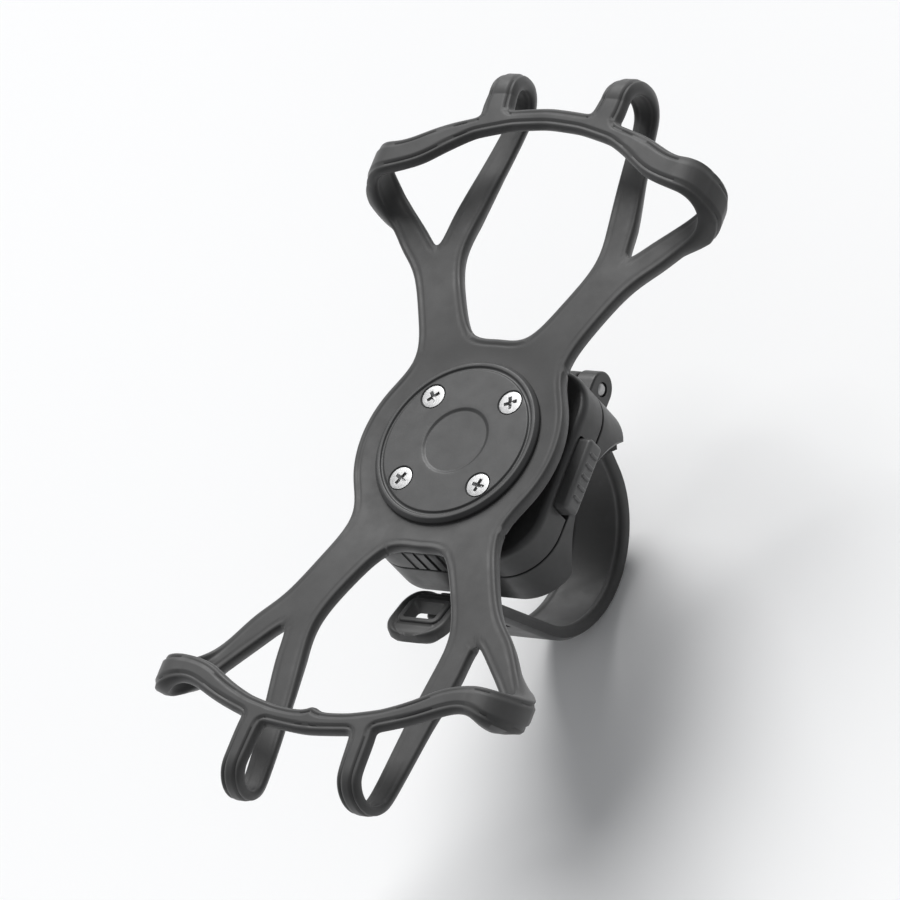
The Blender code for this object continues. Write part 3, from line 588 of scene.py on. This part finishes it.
def web_quarter(web, bow, flip_x):
    """A quarter of the web: hub sector, arm, side branch with its lug, end branch with its prong, and half a bow."""
    flip_y = bow["side"]
    end = PHONE_LENGTH / 2 - PHONE_DROP * flip_y
    side = PHONE_WIDTH / 2
    back = PHONE_BACK_Z - SKIN_GAP

    spokes = (90, ARM_ANGLE + ARM_ROOT_SPREAD, ARM_ANGLE, ARM_ANGLE - ARM_ROOT_SPREAD, 24, 0)
    rings = (
        (HUB_HOLE_RADIUS, HUB_TOP_Z),
        ((HUB_HOLE_RADIUS + HUB_FLAT_RADIUS) / 2, HUB_TOP_Z),
        (HUB_FLAT_RADIUS, HUB_TOP_Z),
        (HUB_RADIUS, mixed(HUB_TOP_Z, back, 0.5)),
    )
    sector = [
        [(r * cos(radians(a)), r * sin(radians(a)), z, ARM_THICKNESS) for a in spokes]
        for r, z in rings
    ]
    web.strip(sector, flip_x, flip_y)

    root = sector[-1][1:4]
    middle = (14.4 * MM, 26.0 * MM, back, ARM_THICKNESS)
    knee = across(14.4 * MM, 26.0 * MM, 63, 4.4 * MM, back, ARM_THICKNESS, middle)
    middle = (19.4 * MM, 36.4 * MM, back, ARM_THICKNESS)
    fork = across(18.6 * MM, 34.4 * MM, 63, 4.3 * MM, back, ARM_THICKNESS, middle)
    web.strip([root, knee, fork], flip_x, flip_y)

    prong = bow["prong_half"]
    branch = [
        [fork[0], fork[1]],
        across(16.7 * MM, 43.5 * MM, 99, 2.9 * MM, back, ARM_THICKNESS),
        across(14.9 * MM, 53.0 * MM, 98, 2.6 * MM, back, BAND_THICKNESS),
    ]
    for angle, thickness in zip(PRONG_ANGLES, bow["prong_thick"]):
        share = (angle + 90) / 180
        centre = mixed(13.4 * MM, PRONG_EDGE_X - 0.4 * MM, share)
        half = mixed(2.3 * MM, prong, share)
        branch.append([wrap(end, centre + k * half, angle, thickness, True) for k in (-1, 1)])
    for reach in (BAND_HALF_WIDTH + JUNCTION, BAND_HALF_WIDTH):
        branch.append([arc_point(bow, PRONG_X + k * prong, reach, BAND_THICKNESS) for k in (-1, 1)])
    web.strip(branch, flip_x, flip_y)

    branch = [
        [fork[1], fork[2]],
        across(25.2 * MM, 38.6 * MM, 38, 2.9 * MM, back, ARM_THICKNESS),
    ]
    for angle, thickness in zip(LUG_ANGLES, bow["lug_thick"]):
        share = (angle + 90) / 180
        centre = through(bow["lug"], share)
        half = through(bow["lug_half"], share)
        branch.append([wrap(side, centre + k * half, angle, thickness, False) for k in (1, -1)])
    for x, half in zip(LUG_END_X, bow["lug_end"]):
        branch.append([arc_point(bow, x, k * half, BAND_THICKNESS) for k in (1, -1)])
    root, tip = PRONG_X + prong, PRONG_X - prong
    for x, peak in ((root + JUNCTION, 0), (root, 0), (tip, 0), (tip - JUNCTION, 0), (1.5 * MM, 0), (0, 1)):
        inner = BAND_HALF_WIDTH + peak * bow["peak"]
        branch.append([arc_point(bow, x, k, BAND_THICKNESS) for k in (BAND_HALF_WIDTH, -inner)])
    web.strip(branch, flip_x, flip_y)


def away_from_phone(point):
    """The direction from the nearest point inside the phone to a point of the web."""
    middle = Vector((0, -PHONE_DROP, PHONE_BACK_Z + PHONE_THICKNESS / 2))
    inset = PHONE_THICKNESS / 2
    reach = Vector((PHONE_WIDTH / 2 - inset, PHONE_LENGTH / 2 - inset, 0))
    offset = Vector(point) - middle
    held = Vector([max(-r, min(r, o)) for o, r in zip(offset, reach)])
    return offset - held


def build_web():
    web = Sheet()
    for bow in (TOP_BOW, BOTTOM_BOW):
        for flip_x in (1, -1):
            web_quarter(web, bow, flip_x)
    levels = 4
    bm = moulded_solid(web, away_from_phone, levels, (0.7 * MM, 1.1 * MM, 0.4 * MM))
    holes = [shifted(cylinder(2.7 * MM, 27 * MM, 32 * MM, 48), x, y) for x, y in HUB_SCREWS]
    bm = boolean_bm(bm, holes)
    piece("cradle_web", bm, SILICONE, "cradle", "silicone", ["silicone_cradle"], crease=60)


# ---------------------------------------------------------------- hard parts


def soften(points, radius, steps=4, closed=False):
    """Rounds the corners of a polyline of 2D points."""
    made = []
    count = len(points)
    for k, point in enumerate(points):
        if not closed and k in (0, count - 1):
            made.append(point)
            continue
        here = Vector(point)
        before = Vector(points[k - 1]) - here
        after = Vector(points[(k + 1) % count]) - here
        cut = min(radius, before.length * 0.45, after.length * 0.45)
        a, b = here + before.normalized() * cut, here + after.normalized() * cut
        for j in range(steps + 1):
            t = j / steps
            made.append(tuple(a * (1 - t) ** 2 + here * 2 * t * (1 - t) + b * t * t))
    return made


def lathe(points, radius=0.2 * MM, steps=96):
    """A solid of revolution about Z with softened corners. The end points may lie on the axis."""
    softened = soften(points, radius)
    return revolve([(0 if r < 1e-9 else r, z) for r, z in softened], steps)


def bevel_rim(bm, height, width, segments=4):
    """Rounds the outer edges that lie in the plane at this height."""
    on_plane = [e for e in bm.edges if all(abs(v.co.z - height) < 0.005 * MM for v in e.verts)]
    rim = [e for e in on_plane if e.calc_face_angle(0) > radians(40)]
    bmesh.ops.bevel(bm, geom=rim, offset=width, segments=segments, affect="EDGES", profile=0.5)
    return bm


def slab(outline, low, high, lower_edge, upper_edge):
    """A prism with both its rims rounded."""
    bm = prism(outline, low, high)
    bevel_rim(bm, low, lower_edge)
    return bevel_rim(bm, high, upper_edge)


def cross_recess(radius, z, depth):
    """Cutters for a cross-head recess that sinks from z, upwards for a negative depth."""
    made = []
    for turn in (0, 90):
        bm = bmesh.new()
        bmesh.ops.create_cube(bm, size=1.0)
        for vert in bm.verts:
            deep = vert.co.z < 0
            share = 0.45 if deep else 1.0
            x = vert.co.x * 2 * radius * share
            y = vert.co.y * radius * 0.5 * (0.8 if deep else 1.0)
            vert.co = (x, y, z - depth if deep else z + depth * 0.2)
        made.append(moved(bm, Matrix.Rotation(radians(turn), 4, "Z")))
    return made


def ball(radius, x, y, z, segments=48):
    bm = bmesh.new()
    place = Matrix.Translation((x, y, z))
    bmesh.ops.create_uvsphere(bm, u_segments=segments, v_segments=segments // 2, radius=radius, matrix=place)
    return bm


def build_plate():
    top, bottom = PHONE_BACK_Z, 30.9 * MM
    profile = [
        (0, top - 0.25 * MM),
        (6.0 * MM, top - 0.25 * MM),
        (6.5 * MM, top),
        (7.4 * MM, top),
        (8.5 * MM, top),
        (14.0 * MM, top),
        (14.2 * MM, top - 0.3 * MM),
        (14.6 * MM, top - 0.3 * MM),
        (14.8 * MM, top),
        (15.4 * MM, top),
        (16.0 * MM, top - 0.6 * MM),
        (16.0 * MM, bottom),
        (0, bottom),
    ]
    sinks = [shifted(cylinder(1.25 * MM, bottom - 0.1 * MM, top + 0.1 * MM, 48, 2.6 * MM), x, y) for x, y in HUB_SCREWS]
    bm = boolean_bm(lathe(profile, 0.15 * MM, 160), sinks)
    piece("front_plate", bm, PLATE_PLASTIC, "cradle", "black_plastic", ["hub_front_plate"])
    for k, (x, y) in enumerate(HUB_SCREWS):
        head_z = top - 0.1 * MM
        profile = [
            (0, head_z),
            (2.2 * MM, head_z),
            (0.9 * MM, bottom + 0.1 * MM),
            (0.9 * MM, 27.0 * MM),
            (0, 26.7 * MM),
        ]
        bm = boolean_bm(lathe(profile, 0.08 * MM, 48), cross_recess(1.4 * MM, head_z, 0.75 * MM))
        bm = shifted(moved(bm, Matrix.Rotation(0.4 + 1.9 * k, 4, "Z")), x, y)
        piece(f"hub_screw_{k + 1}_head", bm, STEEL, "cradle", "steel", [f"hub_screw_{k + 1}"], crease=30)


def build_spigot():
    profile = [
        (0, 27.9 * MM),
        (17.0 * MM, 27.9 * MM),
        (17.0 * MM, 26.1 * MM),
        (8.0 * MM, 26.1 * MM),
        (8.0 * MM, 23.5 * MM),
        (6.0 * MM, 23.5 * MM),
        (6.0 * MM, 21.4 * MM),
        (8.0 * MM, 21.4 * MM),
        (8.0 * MM, 20.1 * MM),
        (7.4 * MM, 19.5 * MM),
        (0, 19.5 * MM),
    ]
    stem = lathe(profile, 0.3 * MM, 144)
    bosses = [shifted(cylinder(2.4 * MM, 27.4 * MM, 30.8 * MM, 48), x, y) for x, y in HUB_SCREWS]
    stem = boolean_bm(stem, bosses, "UNION")
    cuts = [shifted(cylinder(1.1 * MM, 26.6 * MM, 32 * MM, 24), x, y) for x, y in HUB_SCREWS]
    cuts += [ball(2.05 * MM, x, y, 24.5 * MM, 32) for x, y in ring_positions(13.4 * MM, 12, 90)]
    bm = boolean_bm(stem, cuts)
    piece("swivel_spigot_turned", bm, ACETAL, "cradle", "acetal", ["swivel_spigot"], crease=30)


def base_screw_places():
    return [(sx * 14.0 * MM, sy * 13.2 * MM) for sx in (1, -1) for sy in (1, -1)]


def build_housing():
    outline = rounded_rectangle((-19 * MM, 19 * MM), (-19 * MM, 19 * MM), 9 * MM)
    low, high = 19.5 * MM, 25.8 * MM
    bm = slab(outline, low, high, 0.25 * MM, 1.3 * MM)
    below = low - 1 * MM
    cuts = [
        cylinder(8.15 * MM, below, high + 1 * MM, 96),
        cylinder(8.15 * MM, high - 0.4 * MM, high + 0.1 * MM, 96, 8.65 * MM),
        box((-16.8 * MM, 15.8 * MM), (-10 * MM, 10 * MM), (below, 23.6 * MM)),
        box((11.9 * MM, 22 * MM), (-7.1 * MM, 7.1 * MM), (below, 24.5 * MM), 0.8 * MM),
    ]
    for side in (1, -1):
        cuts.append(shifted(cylinder(2.1 * MM, below, 25.4 * MM, 48), 0, side * 13.4 * MM))
        cuts.append(shifted(cylinder(1.8 * MM, 24.4 * MM, high + 1 * MM, 48), 0, side * 13.4 * MM))
        for k in range(-3, 4):
            rib = along_x(cylinder(0.45 * MM, -3.0 * MM, 3.0 * MM, 24))
            rib = moved(rib, Matrix.Rotation(radians(90), 4, "Y"))
            cuts.append(shifted(rib, k * 2.4 * MM, side * 19.15 * MM, 22.4 * MM))
    cuts += [shifted(cylinder(1.1 * MM, below, 24.3 * MM, 24), x, y) for x, y in base_screw_places()]
    bm = boolean_bm(bm, cuts)
    piece("base_housing_shell", bm, PLASTIC, "base", "black_plastic", ["base_housing"], crease=30)


def ear(low, high):
    """One ear of the strap's hinge: a plate with a round end, between two distances along the bar."""
    outline = [(15.5 * MM, 11.3 * MM), (18.6 * MM, STRAP_PIN_Z - EAR_RADIUS)]
    for k in range(25):
        angle = radians(-90 + 180 * k / 24)
        outline.append((STRAP_PIN_Y + EAR_RADIUS * cos(angle), STRAP_PIN_Z + EAR_RADIUS * sin(angle)))
    outline.append((15.5 * MM, STRAP_PIN_Z + EAR_RADIUS))
    bm = slab(outline, low, high, 0.45 * MM, 0.45 * MM)
    return along_x(bm)


def build_saddle():
    outline = rounded_rectangle((-19 * MM, 19 * MM), (-19 * MM, 19 * MM), 9 * MM)
    body = slab(outline, 10.8 * MM, 19.2 * MM, 1.3 * MM, 0.25 * MM)
    adds = [
        box((-16.5 * MM, 11.8 * MM), (-9.7 * MM, 9.7 * MM), (17.2 * MM, 21.4 * MM), 0.2 * MM, 2),
        box((-2.8 * MM, 2.8 * MM), (-24.8 * MM, -17.2 * MM), (HOOK_Z - 1.5 * MM, HOOK_Z + 1.5 * MM), 0.5 * MM),
        box((-5.6 * MM, 5.6 * MM), (-25.9 * MM, -24.1 * MM), (HOOK_Z - 1.9 * MM, HOOK_Z + 2.5 * MM), 0.8 * MM, 5),
        ear(EAR_X[0], EAR_X[1]),
        ear(-EAR_X[1], -EAR_X[0]),
    ]
    body = boolean_bm(body, adds, "UNION")
    pin_hole = shifted(along_x(cylinder(1.35 * MM, -16 * MM, 16 * MM, 48)), 0, STRAP_PIN_Y, STRAP_PIN_Z)
    cuts = [
        pin_hole,
        along_x(cylinder(BAR_RADIUS + 1.5 * MM, -25 * MM, 25 * MM, 160)),
        cylinder(8.3 * MM, 19.2 * MM, 22.4 * MM, 96),
    ]
    for side in (1, -1):
        flare = cylinder(BAR_RADIUS + 1.5 * MM, 18.2 * MM, 19.2 * MM, 160, BAR_RADIUS + 2.5 * MM)
        cuts.append(moved(along_x(flare), Matrix.Diagonal((side, 1, 1, 1))))
    for x, y in base_screw_places():
        cuts.append(shifted(cylinder(2.4 * MM, 5 * MM, 16.6 * MM, 48), x, y))
        cuts.append(shifted(cylinder(1.3 * MM, 15 * MM, 21 * MM, 32), x, y))
    for cutter_bm in cuts:
        bmesh.ops.recalc_face_normals(cutter_bm, faces=cutter_bm.faces)
    bm = boolean_bm(body, cuts)
    piece("saddle_base_shell", bm, PLASTIC, "base", "black_plastic", ["saddle_base"], crease=30)
    for k, (x, y) in enumerate(base_screw_places()):
        seat = 16.4 * MM
        profile = [
            (0, 23.9 * MM),
            (0.8 * MM, 23.5 * MM),
            (0.8 * MM, seat),
            (2.05 * MM, seat),
            (2.05 * MM, seat - 1.0 * MM),
            (1.5 * MM, seat - 1.6 * MM),
            (0, seat - 1.6 * MM),
        ]
        recess = [moved(c, Matrix.Diagonal((1, 1, -1, 1))) for c in cross_recess(1.1 * MM, -(seat - 1.6 * MM), 0.9 * MM)]
        for cutter_bm in recess:
            bmesh.ops.recalc_face_normals(cutter_bm, faces=cutter_bm.faces)
        bm = boolean_bm(lathe(profile, 0.15 * MM, 48), recess)
        bm = shifted(moved(bm, Matrix.Rotation(0.3 + 2.3 * k, 4, "Z")), x, y)
        piece(f"base_screw_{k + 1}_head", bm, STEEL, "base", "steel", [f"base_screw_{k + 1}"], crease=30)


def build_pad():
    """Rubber pad with ribs along the bar and a flat land on its crown."""
    crown = degrees(atan2(2.0 * MM, BAR_RADIUS))
    inner_radius = BAR_RADIUS / cos(radians(crown))
    outer_radius = BAR_RADIUS + 1.35 * MM
    last, steps = 48.0, 174
    right_inner, right_outer = [], []
    for k in range(steps + 1):
        angle = crown + (last - crown) * k / steps
        rib = max(0.0, sin(2 * pi * (angle - crown - 3.0) / 6.0)) ** 0.5 if crown + 3 < angle < last - 2 else 0.0
        reach = inner_radius + 0.4 * MM * rib
        right_inner.append((reach * sin(radians(angle)), reach * cos(radians(angle))))
    for k in range(31):
        angle = radians(last * k / 30)
        right_outer.append((outer_radius * sin(angle), outer_radius * cos(angle)))
    left_inner = [(-y, z) for y, z in right_inner]
    left_outer = [(-y, z) for y, z in right_outer[1:]]
    outline = left_inner[::-1] + right_inner + right_outer[::-1] + left_outer
    bm = along_x(prism(outline, -17 * MM, 17 * MM))
    piece("saddle_pad_ribbed", bm, RUBBER, "base", "pad_rubber", ["saddle_pad"], crease=30)


def build_release():
    outline = rounded_rectangle((-13 * MM, 14 * MM), (-9.2 * MM, 9.2 * MM), 2 * MM)
    plate = slab(outline, 21.7 * MM, 23.2 * MM, 0.12 * MM, 0.12 * MM)
    cuts = [shifted(cylinder(8.2 * MM, 20 * MM, 25 * MM, 96), 2 * MM)]
    for side in (1, -1):
        y = (side * 6.0 * MM - 1.2 * MM, side * 6.0 * MM + 1.2 * MM)
        cuts.append(box((-14.5 * MM, -9.3 * MM), y, (20 * MM, 25 * MM), 0.3 * MM))
    bm = boolean_bm(plate, cuts)
    piece("lock_plate_pressed", bm, SHEET_STEEL, "release", "steel", ["lock_plate"], crease=30)

    cap = box((14.3 * MM, 21.6 * MM), (-6.8 * MM, 6.8 * MM), (20.2 * MM, 24.2 * MM), 0.9 * MM, 5)
    adds = [box((13.9 * MM, 15.5 * MM), (-8.8 * MM, 8.8 * MM), (21.65 * MM, 23.35 * MM), 0.15 * MM, 2)]
    for k in range(-2, 3):
        adds.append(shifted(box((-0.5 * MM, 0.35 * MM), (-0.4 * MM, 0.4 * MM), (-1.2 * MM, 1.2 * MM), 0.3 * MM, 4), 21.55 * MM, k * 2.1 * MM, 22.2 * MM))
    cap = boolean_bm(cap, adds, "UNION")
    seat = box((12 * MM, 14.25 * MM), (-9.6 * MM, 9.6 * MM), (21.4 * MM, 23.5 * MM))
    bm = boolean_bm(cap, [seat])
    piece("release_button_cap", bm, BUTTON, "release", "button_plastic", ["release_button"], crease=30)


def coil(start, end, radius, wire, turns, points_per_turn=28, sides=12):
    """A compression spring between two points, with its end turns closed, as a tube mesh."""
    axis = Vector(end) - Vector(start)
    turn = axis.to_track_quat("Z", "X").to_matrix()
    count = int(turns * points_per_turn)
    centres = []
    for k in range(count + 1):
        share = k / count
        closed = 1.0 / turns
        eased = min(max((share - closed * 0.8) / (1 - 1.6 * closed), 0), 1)
        ends = min(share / (closed * 0.8), 1) * 2 * wire + max(0, (share - 1) / (closed * 0.8) + 1) * 2 * wire
        rise = wire + ends + eased * (axis.length - 6 * wire)
        angle = 2 * pi * k / points_per_turn
        centres.append(Vector(start) + turn @ Vector((radius * cos(angle), radius * sin(angle), rise)))
    bm = bmesh.new()
    rings = []
    for k, centre in enumerate(centres):
        along = (centres[min(k + 1, count)] - centres[max(k - 1, 0)]).normalized()
        out = (centre - Vector(start) - axis.normalized() * (centre - Vector(start)).dot(axis.normalized())).normalized()
        side = along.cross(out).normalized()
        out = side.cross(along)
        ring = []
        for j in range(sides):
            a = 2 * pi * j / sides
            ring.append(bm.verts.new(centre + wire * (out * cos(a) + side * sin(a))))
        rings.append(ring)
    for near, far in zip(rings, rings[1:]):
        for j in range(sides):
            n = (j + 1) % sides
            bm.faces.new((near[j], near[n], far[n], far[j]))
    bm.faces.new(rings[0][::-1])
    bm.faces.new(rings[-1])
    return bm


def build_springs_and_balls():
    for k, side in enumerate((1, -1)):
        start, end = ((x, side * 6.0 * MM, 22.45 * MM) for x in (-16.6 * MM, -9.4 * MM))
        spring = piece(
            f"lock_spring_{k + 1}_coil",
            coil(start, end, 0.75 * MM, 0.17 * MM, 8),
            WIRE,
            "base",
            "spring_steel",
            [f"lock_spring_{k + 1}"],
        )
        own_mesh(spring)
        start, end = ((0, side * 13.4 * MM, z) for z in (19.5 * MM, 22.35 * MM))
        spring = piece(
            f"detent_spring_{k + 1}_coil",
            coil(start, end, 1.3 * MM, 0.2 * MM, 5),
            WIRE,
            "base",
            "spring_steel",
            [f"detent_spring_{k + 1}"],
        )
        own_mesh(spring)
        body = ("detent_a", "detent_b")[k]
        bm = ball(2 * MM, 0, side * 13.4 * MM, 24.5 * MM)
        piece(f"detent_ball_{k + 1}_polished", bm, STEEL, body, "steel", [f"detent_ball_{k + 1}"], crease=0)


# ---------------------------------------------------------------- strap


def strap_path():
    """The strap's middle line from its pin round the bar to its tip, as (y, z, heading in degrees)."""
    radius = BAR_RADIUS + STRAP_THICKNESS / 2 + 0.05 * MM

    def tangent_angle(y, z):
        return degrees(atan2(z, y) - acos(radius / sqrt(y * y + z * z)))

    first = tangent_angle(STRAP_PIN_Y, STRAP_PIN_Z)
    last = -180 - tangent_angle(-HOOK_Y, HOOK_Z)
    path = [(STRAP_PIN_Y, STRAP_PIN_Z, first - 90)]
    for k in range(89):
        angle = mixed(first, last, k / 88)
        path.append((radius * cos(radians(angle)), radius * sin(radians(angle)), angle - 90))
    heading = path[-1][2]
    y, z = HOOK_Y, HOOK_Z
    path.append((y, z, heading))
    y, z = y + 3.0 * MM * cos(radians(heading)), z + 3.0 * MM * sin(radians(heading))
    path.append((y, z, heading))
    for k in range(18):
        step = 52.0 / 18
        chord = 2 * 9.0 * MM * sin(radians(step) / 2)
        middle = radians(heading + step / 2)
        heading += step
        y, z = y + chord * cos(middle), z + chord * sin(middle)
        path.append((y, z, heading))
    path.append((y + 7.0 * MM * cos(radians(heading)), z + 7.0 * MM * sin(radians(heading)), heading))
    return path


def resampled(path, step):
    """The path at even steps, as (distance along it, y, z, heading)."""
    lengths = [0.0]
    for (y0, z0, _), (y1, z1, _) in zip(path, path[1:]):
        lengths.append(lengths[-1] + sqrt((y1 - y0) ** 2 + (z1 - z0) ** 2))
    count = int(lengths[-1] / step)
    marks = np.linspace(0, lengths[-1], count + 1)
    columns = [np.interp(marks, lengths, [p[k] for p in path]) for k in range(3)]
    return list(zip(marks, *columns)), lengths


def strap_section(distance, total):
    """(x, height) points of the strap's section, anticlockwise: outer face with rounded beads along its edges."""
    to_tip = total - distance
    corner = 4.0 * MM
    half = STRAP_HALF_WIDTH - (corner - sqrt(max(corner**2 - (corner - to_tip) ** 2, 0)) if to_tip < corner else 0)
    thick = STRAP_THICKNESS / 2 * (1 - 0.35 * max(0.0, 1 - to_tip / (1.2 * MM)) ** 2)
    grip = 0.0
    if 1.6 * MM < to_tip < 4.6 * MM or 8.6 * MM < to_tip < 12.2 * MM:
        grip = 0.30 * MM * max(0.0, sin(2 * pi * to_tip / (1.2 * MM)))
    points = []
    edge = 0.8 * MM
    lanes = 40
    for k in range(lanes + 1):
        x = half * (1 - 2 * k / lanes)
        inset = half - abs(x)
        height = thick * (0.35 + 0.65 * float(quarter_round(np.array(inset), edge)))
        height -= 0.28 * MM * float(step_up(np.array(inset), 1.3 * MM, 1.7 * MM))
        height += grip * float(step_up(np.array(inset), 1.9 * MM, 2.3 * MM))
        points.append((x, height))
    for k in range(13):
        x = -half * (1 - 2 * k / 12)
        inset = half - abs(x)
        points.append((x, -thick * (0.55 + 0.45 * float(quarter_round(np.array(inset), edge * 0.6)))))
    return points


def build_strap():
    path = strap_path()
    stations, lengths = resampled(path, 0.3 * MM)
    total = lengths[-1]
    bm = bmesh.new()
    rings = []
    for distance, y, z, heading in stations:
        h = radians(heading)
        ring = []
        for x, out in strap_section(distance, total):
            # The outer face is on the left of the path seen from +X, away from the bar.
            ring.append(bm.verts.new((x, y + out * sin(h), z - out * cos(h))))
        rings.append(ring)
    count = len(rings[0])
    for near, far in zip(rings, rings[1:]):
        for j in range(count):
            n = (j + 1) % count
            bm.faces.new((near[j], near[n], far[n], far[j]))
    bm.faces.new(rings[0][::-1])
    bm.faces.new(rings[-1])
    bmesh.ops.recalc_face_normals(bm, faces=bm.faces)

    at_pin = Matrix.Translation((0, STRAP_PIN_Y, STRAP_PIN_Z))
    edge = STRAP_HALF_WIDTH
    eye = lathe([(0, -edge), (STRAP_EYE_RADIUS, -edge), (STRAP_EYE_RADIUS, edge), (0, edge)], 0.5 * MM, 72)
    adds = [moved(along_x(eye), at_pin)]
    slots = []
    hook = next(p for p in path if p[0] == HOOK_Y)
    tip = path[-1]
    places = [hook]
    for place, back in ((hook, HOLE_PITCH), (tip, 6 * MM)):
        y, z, heading = place
        places.append((y - back * cos(radians(heading)), z - back * sin(radians(heading)), heading))
    for y, z, heading in places:
        place = Matrix.Translation((0, y, z)) @ Matrix.Rotation(radians(heading), 4, "X")
        rim = slab(rounded_rectangle((-4.3 * MM, 4.3 * MM), (-3.0 * MM, 3.0 * MM), 1.4 * MM, 8), -1.45 * MM, -0.6 * MM, 0.35 * MM, 0.1 * MM)
        adds.append(moved(rim, place))
        hole = prism(rounded_rectangle((-3.3 * MM, 3.3 * MM), (-2.1 * MM, 2.1 * MM), 0.6 * MM, 6), -4 * MM, 4 * MM)
        slots.append(moved(hole, place))
    bm = boolean_bm(bm, adds, "UNION")
    bore = moved(along_x(cylinder(1.35 * MM, -14 * MM, 14 * MM, 48)), at_pin)
    bm = boolean_bm(bm, [bore, *slots])
    piece("strap_moulded", bm, STRAP_SILICONE, "base", "silicone", ["strap"], crease=45)

    end = EAR_X[1]
    profile = [
        (0, -end - 0.05 * MM),
        (0.7 * MM, -end),
        (STRAP_PIN_RADIUS, -end + 0.3 * MM),
        (STRAP_PIN_RADIUS, end - 0.3 * MM),
        (0.7 * MM, end),
        (0, end + 0.05 * MM),
    ]
    pin = moved(along_x(lathe(profile, 0.15 * MM, 48)), at_pin)
    piece("strap_pin_turned", pin, STEEL, "base", "steel", ["strap_pin"], crease=40)


build_web()
build_plate()
build_spigot()
build_housing()
build_saddle()
build_pad()
build_release()
build_springs_and_balls()
build_strap()


# ---------------------------------------------------------------- stage, light and camera

TARGET = Vector((-8.0, 3.0, 6.5)) * MM
CAMERA_DISTANCE = 1.16
LENS = 268.0

def build_stage():
    low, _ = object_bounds()
    bm = bmesh.new()
    bmesh.ops.create_grid(bm, x_segments=1, y_segments=1, size=6.0)
    mesh = bpy.data.meshes.new("floor")
    bm.to_mesh(mesh)
    bm.free()
    made, tree, shader = shader_tree("floor_pale")
    tone = mix_colour(tree, spread(tree, noise(tree, 3.0, 2.0), 0, 1), grey(0.88), grey(0.91))
    tree.links.new(tone, shader.inputs["Base Color"])
    shader.inputs["Roughness"].default_value = 0.85
    mesh.materials.append(made)
    floor = bpy.data.objects.new("floor", mesh)
    floor.location.z = low.z
    bpy.context.scene.collection.objects.link(floor)


def soft_light(name, direction, strength, width):
    """A large soft light far off, of a strength in W/m2 and an apparent width in degrees."""
    data = bpy.data.lights.new(name, "SUN")
    data.energy = strength
    data.angle = radians(width)
    lamp = bpy.data.objects.new(name, data)
    lamp.location = Vector(direction).normalized()
    lamp.rotation_mode = "QUATERNION"
    lamp.rotation_quaternion = (-lamp.location).to_track_quat("-Z", "Y")
    bpy.context.scene.collection.objects.link(lamp)


def build_lights():
    soft_light("key", (-0.35, 0.75, 0.75), 3.5, 40)
    soft_light("fill", (0.8, -0.35, 0.6), 0.1, 60)
    soft_light("rim", (-0.9, -0.3, 0.35), 0.25, 40)
    world = bpy.data.worlds.new("studio")
    world.use_nodes = True
    tree = world.node_tree
    tree.nodes["Background"].inputs["Color"].default_value = (0.95, 0.97, 1.0, 1)
    seen = node(tree, "ShaderNodeLightPath").outputs["Is Camera Ray"]
    tree.links.new(spread(tree, seen, 0.3, 0.93, 0, 1), tree.nodes["Background"].inputs["Strength"])
    bpy.context.scene.world = world
    bpy.context.scene.view_settings.view_transform = "Standard"


def build_camera():
    """The viewing angle: from the right of and below the phone's face, turned with the leaning mount."""
    right = Vector((0.8096, 0.3425, -0.4766))
    up = Vector((-0.0695, 0.8623, 0.5017))
    back = right.cross(up).normalized()
    up = back.cross(right).normalized()
    data = bpy.data.cameras.new("camera")
    data.lens = LENS
    data.sensor_width = 36
    data.clip_start, data.clip_end = 0.05, 30
    camera = bpy.data.objects.new("camera", data)
    place = Matrix((right, up, back)).transposed().to_4x4()
    place.translation = TARGET + back * CAMERA_DISTANCE
    camera.matrix_world = place
    bpy.context.scene.collection.objects.link(camera)
    bpy.context.scene.camera = camera


build_stage()
build_lights()
build_camera()
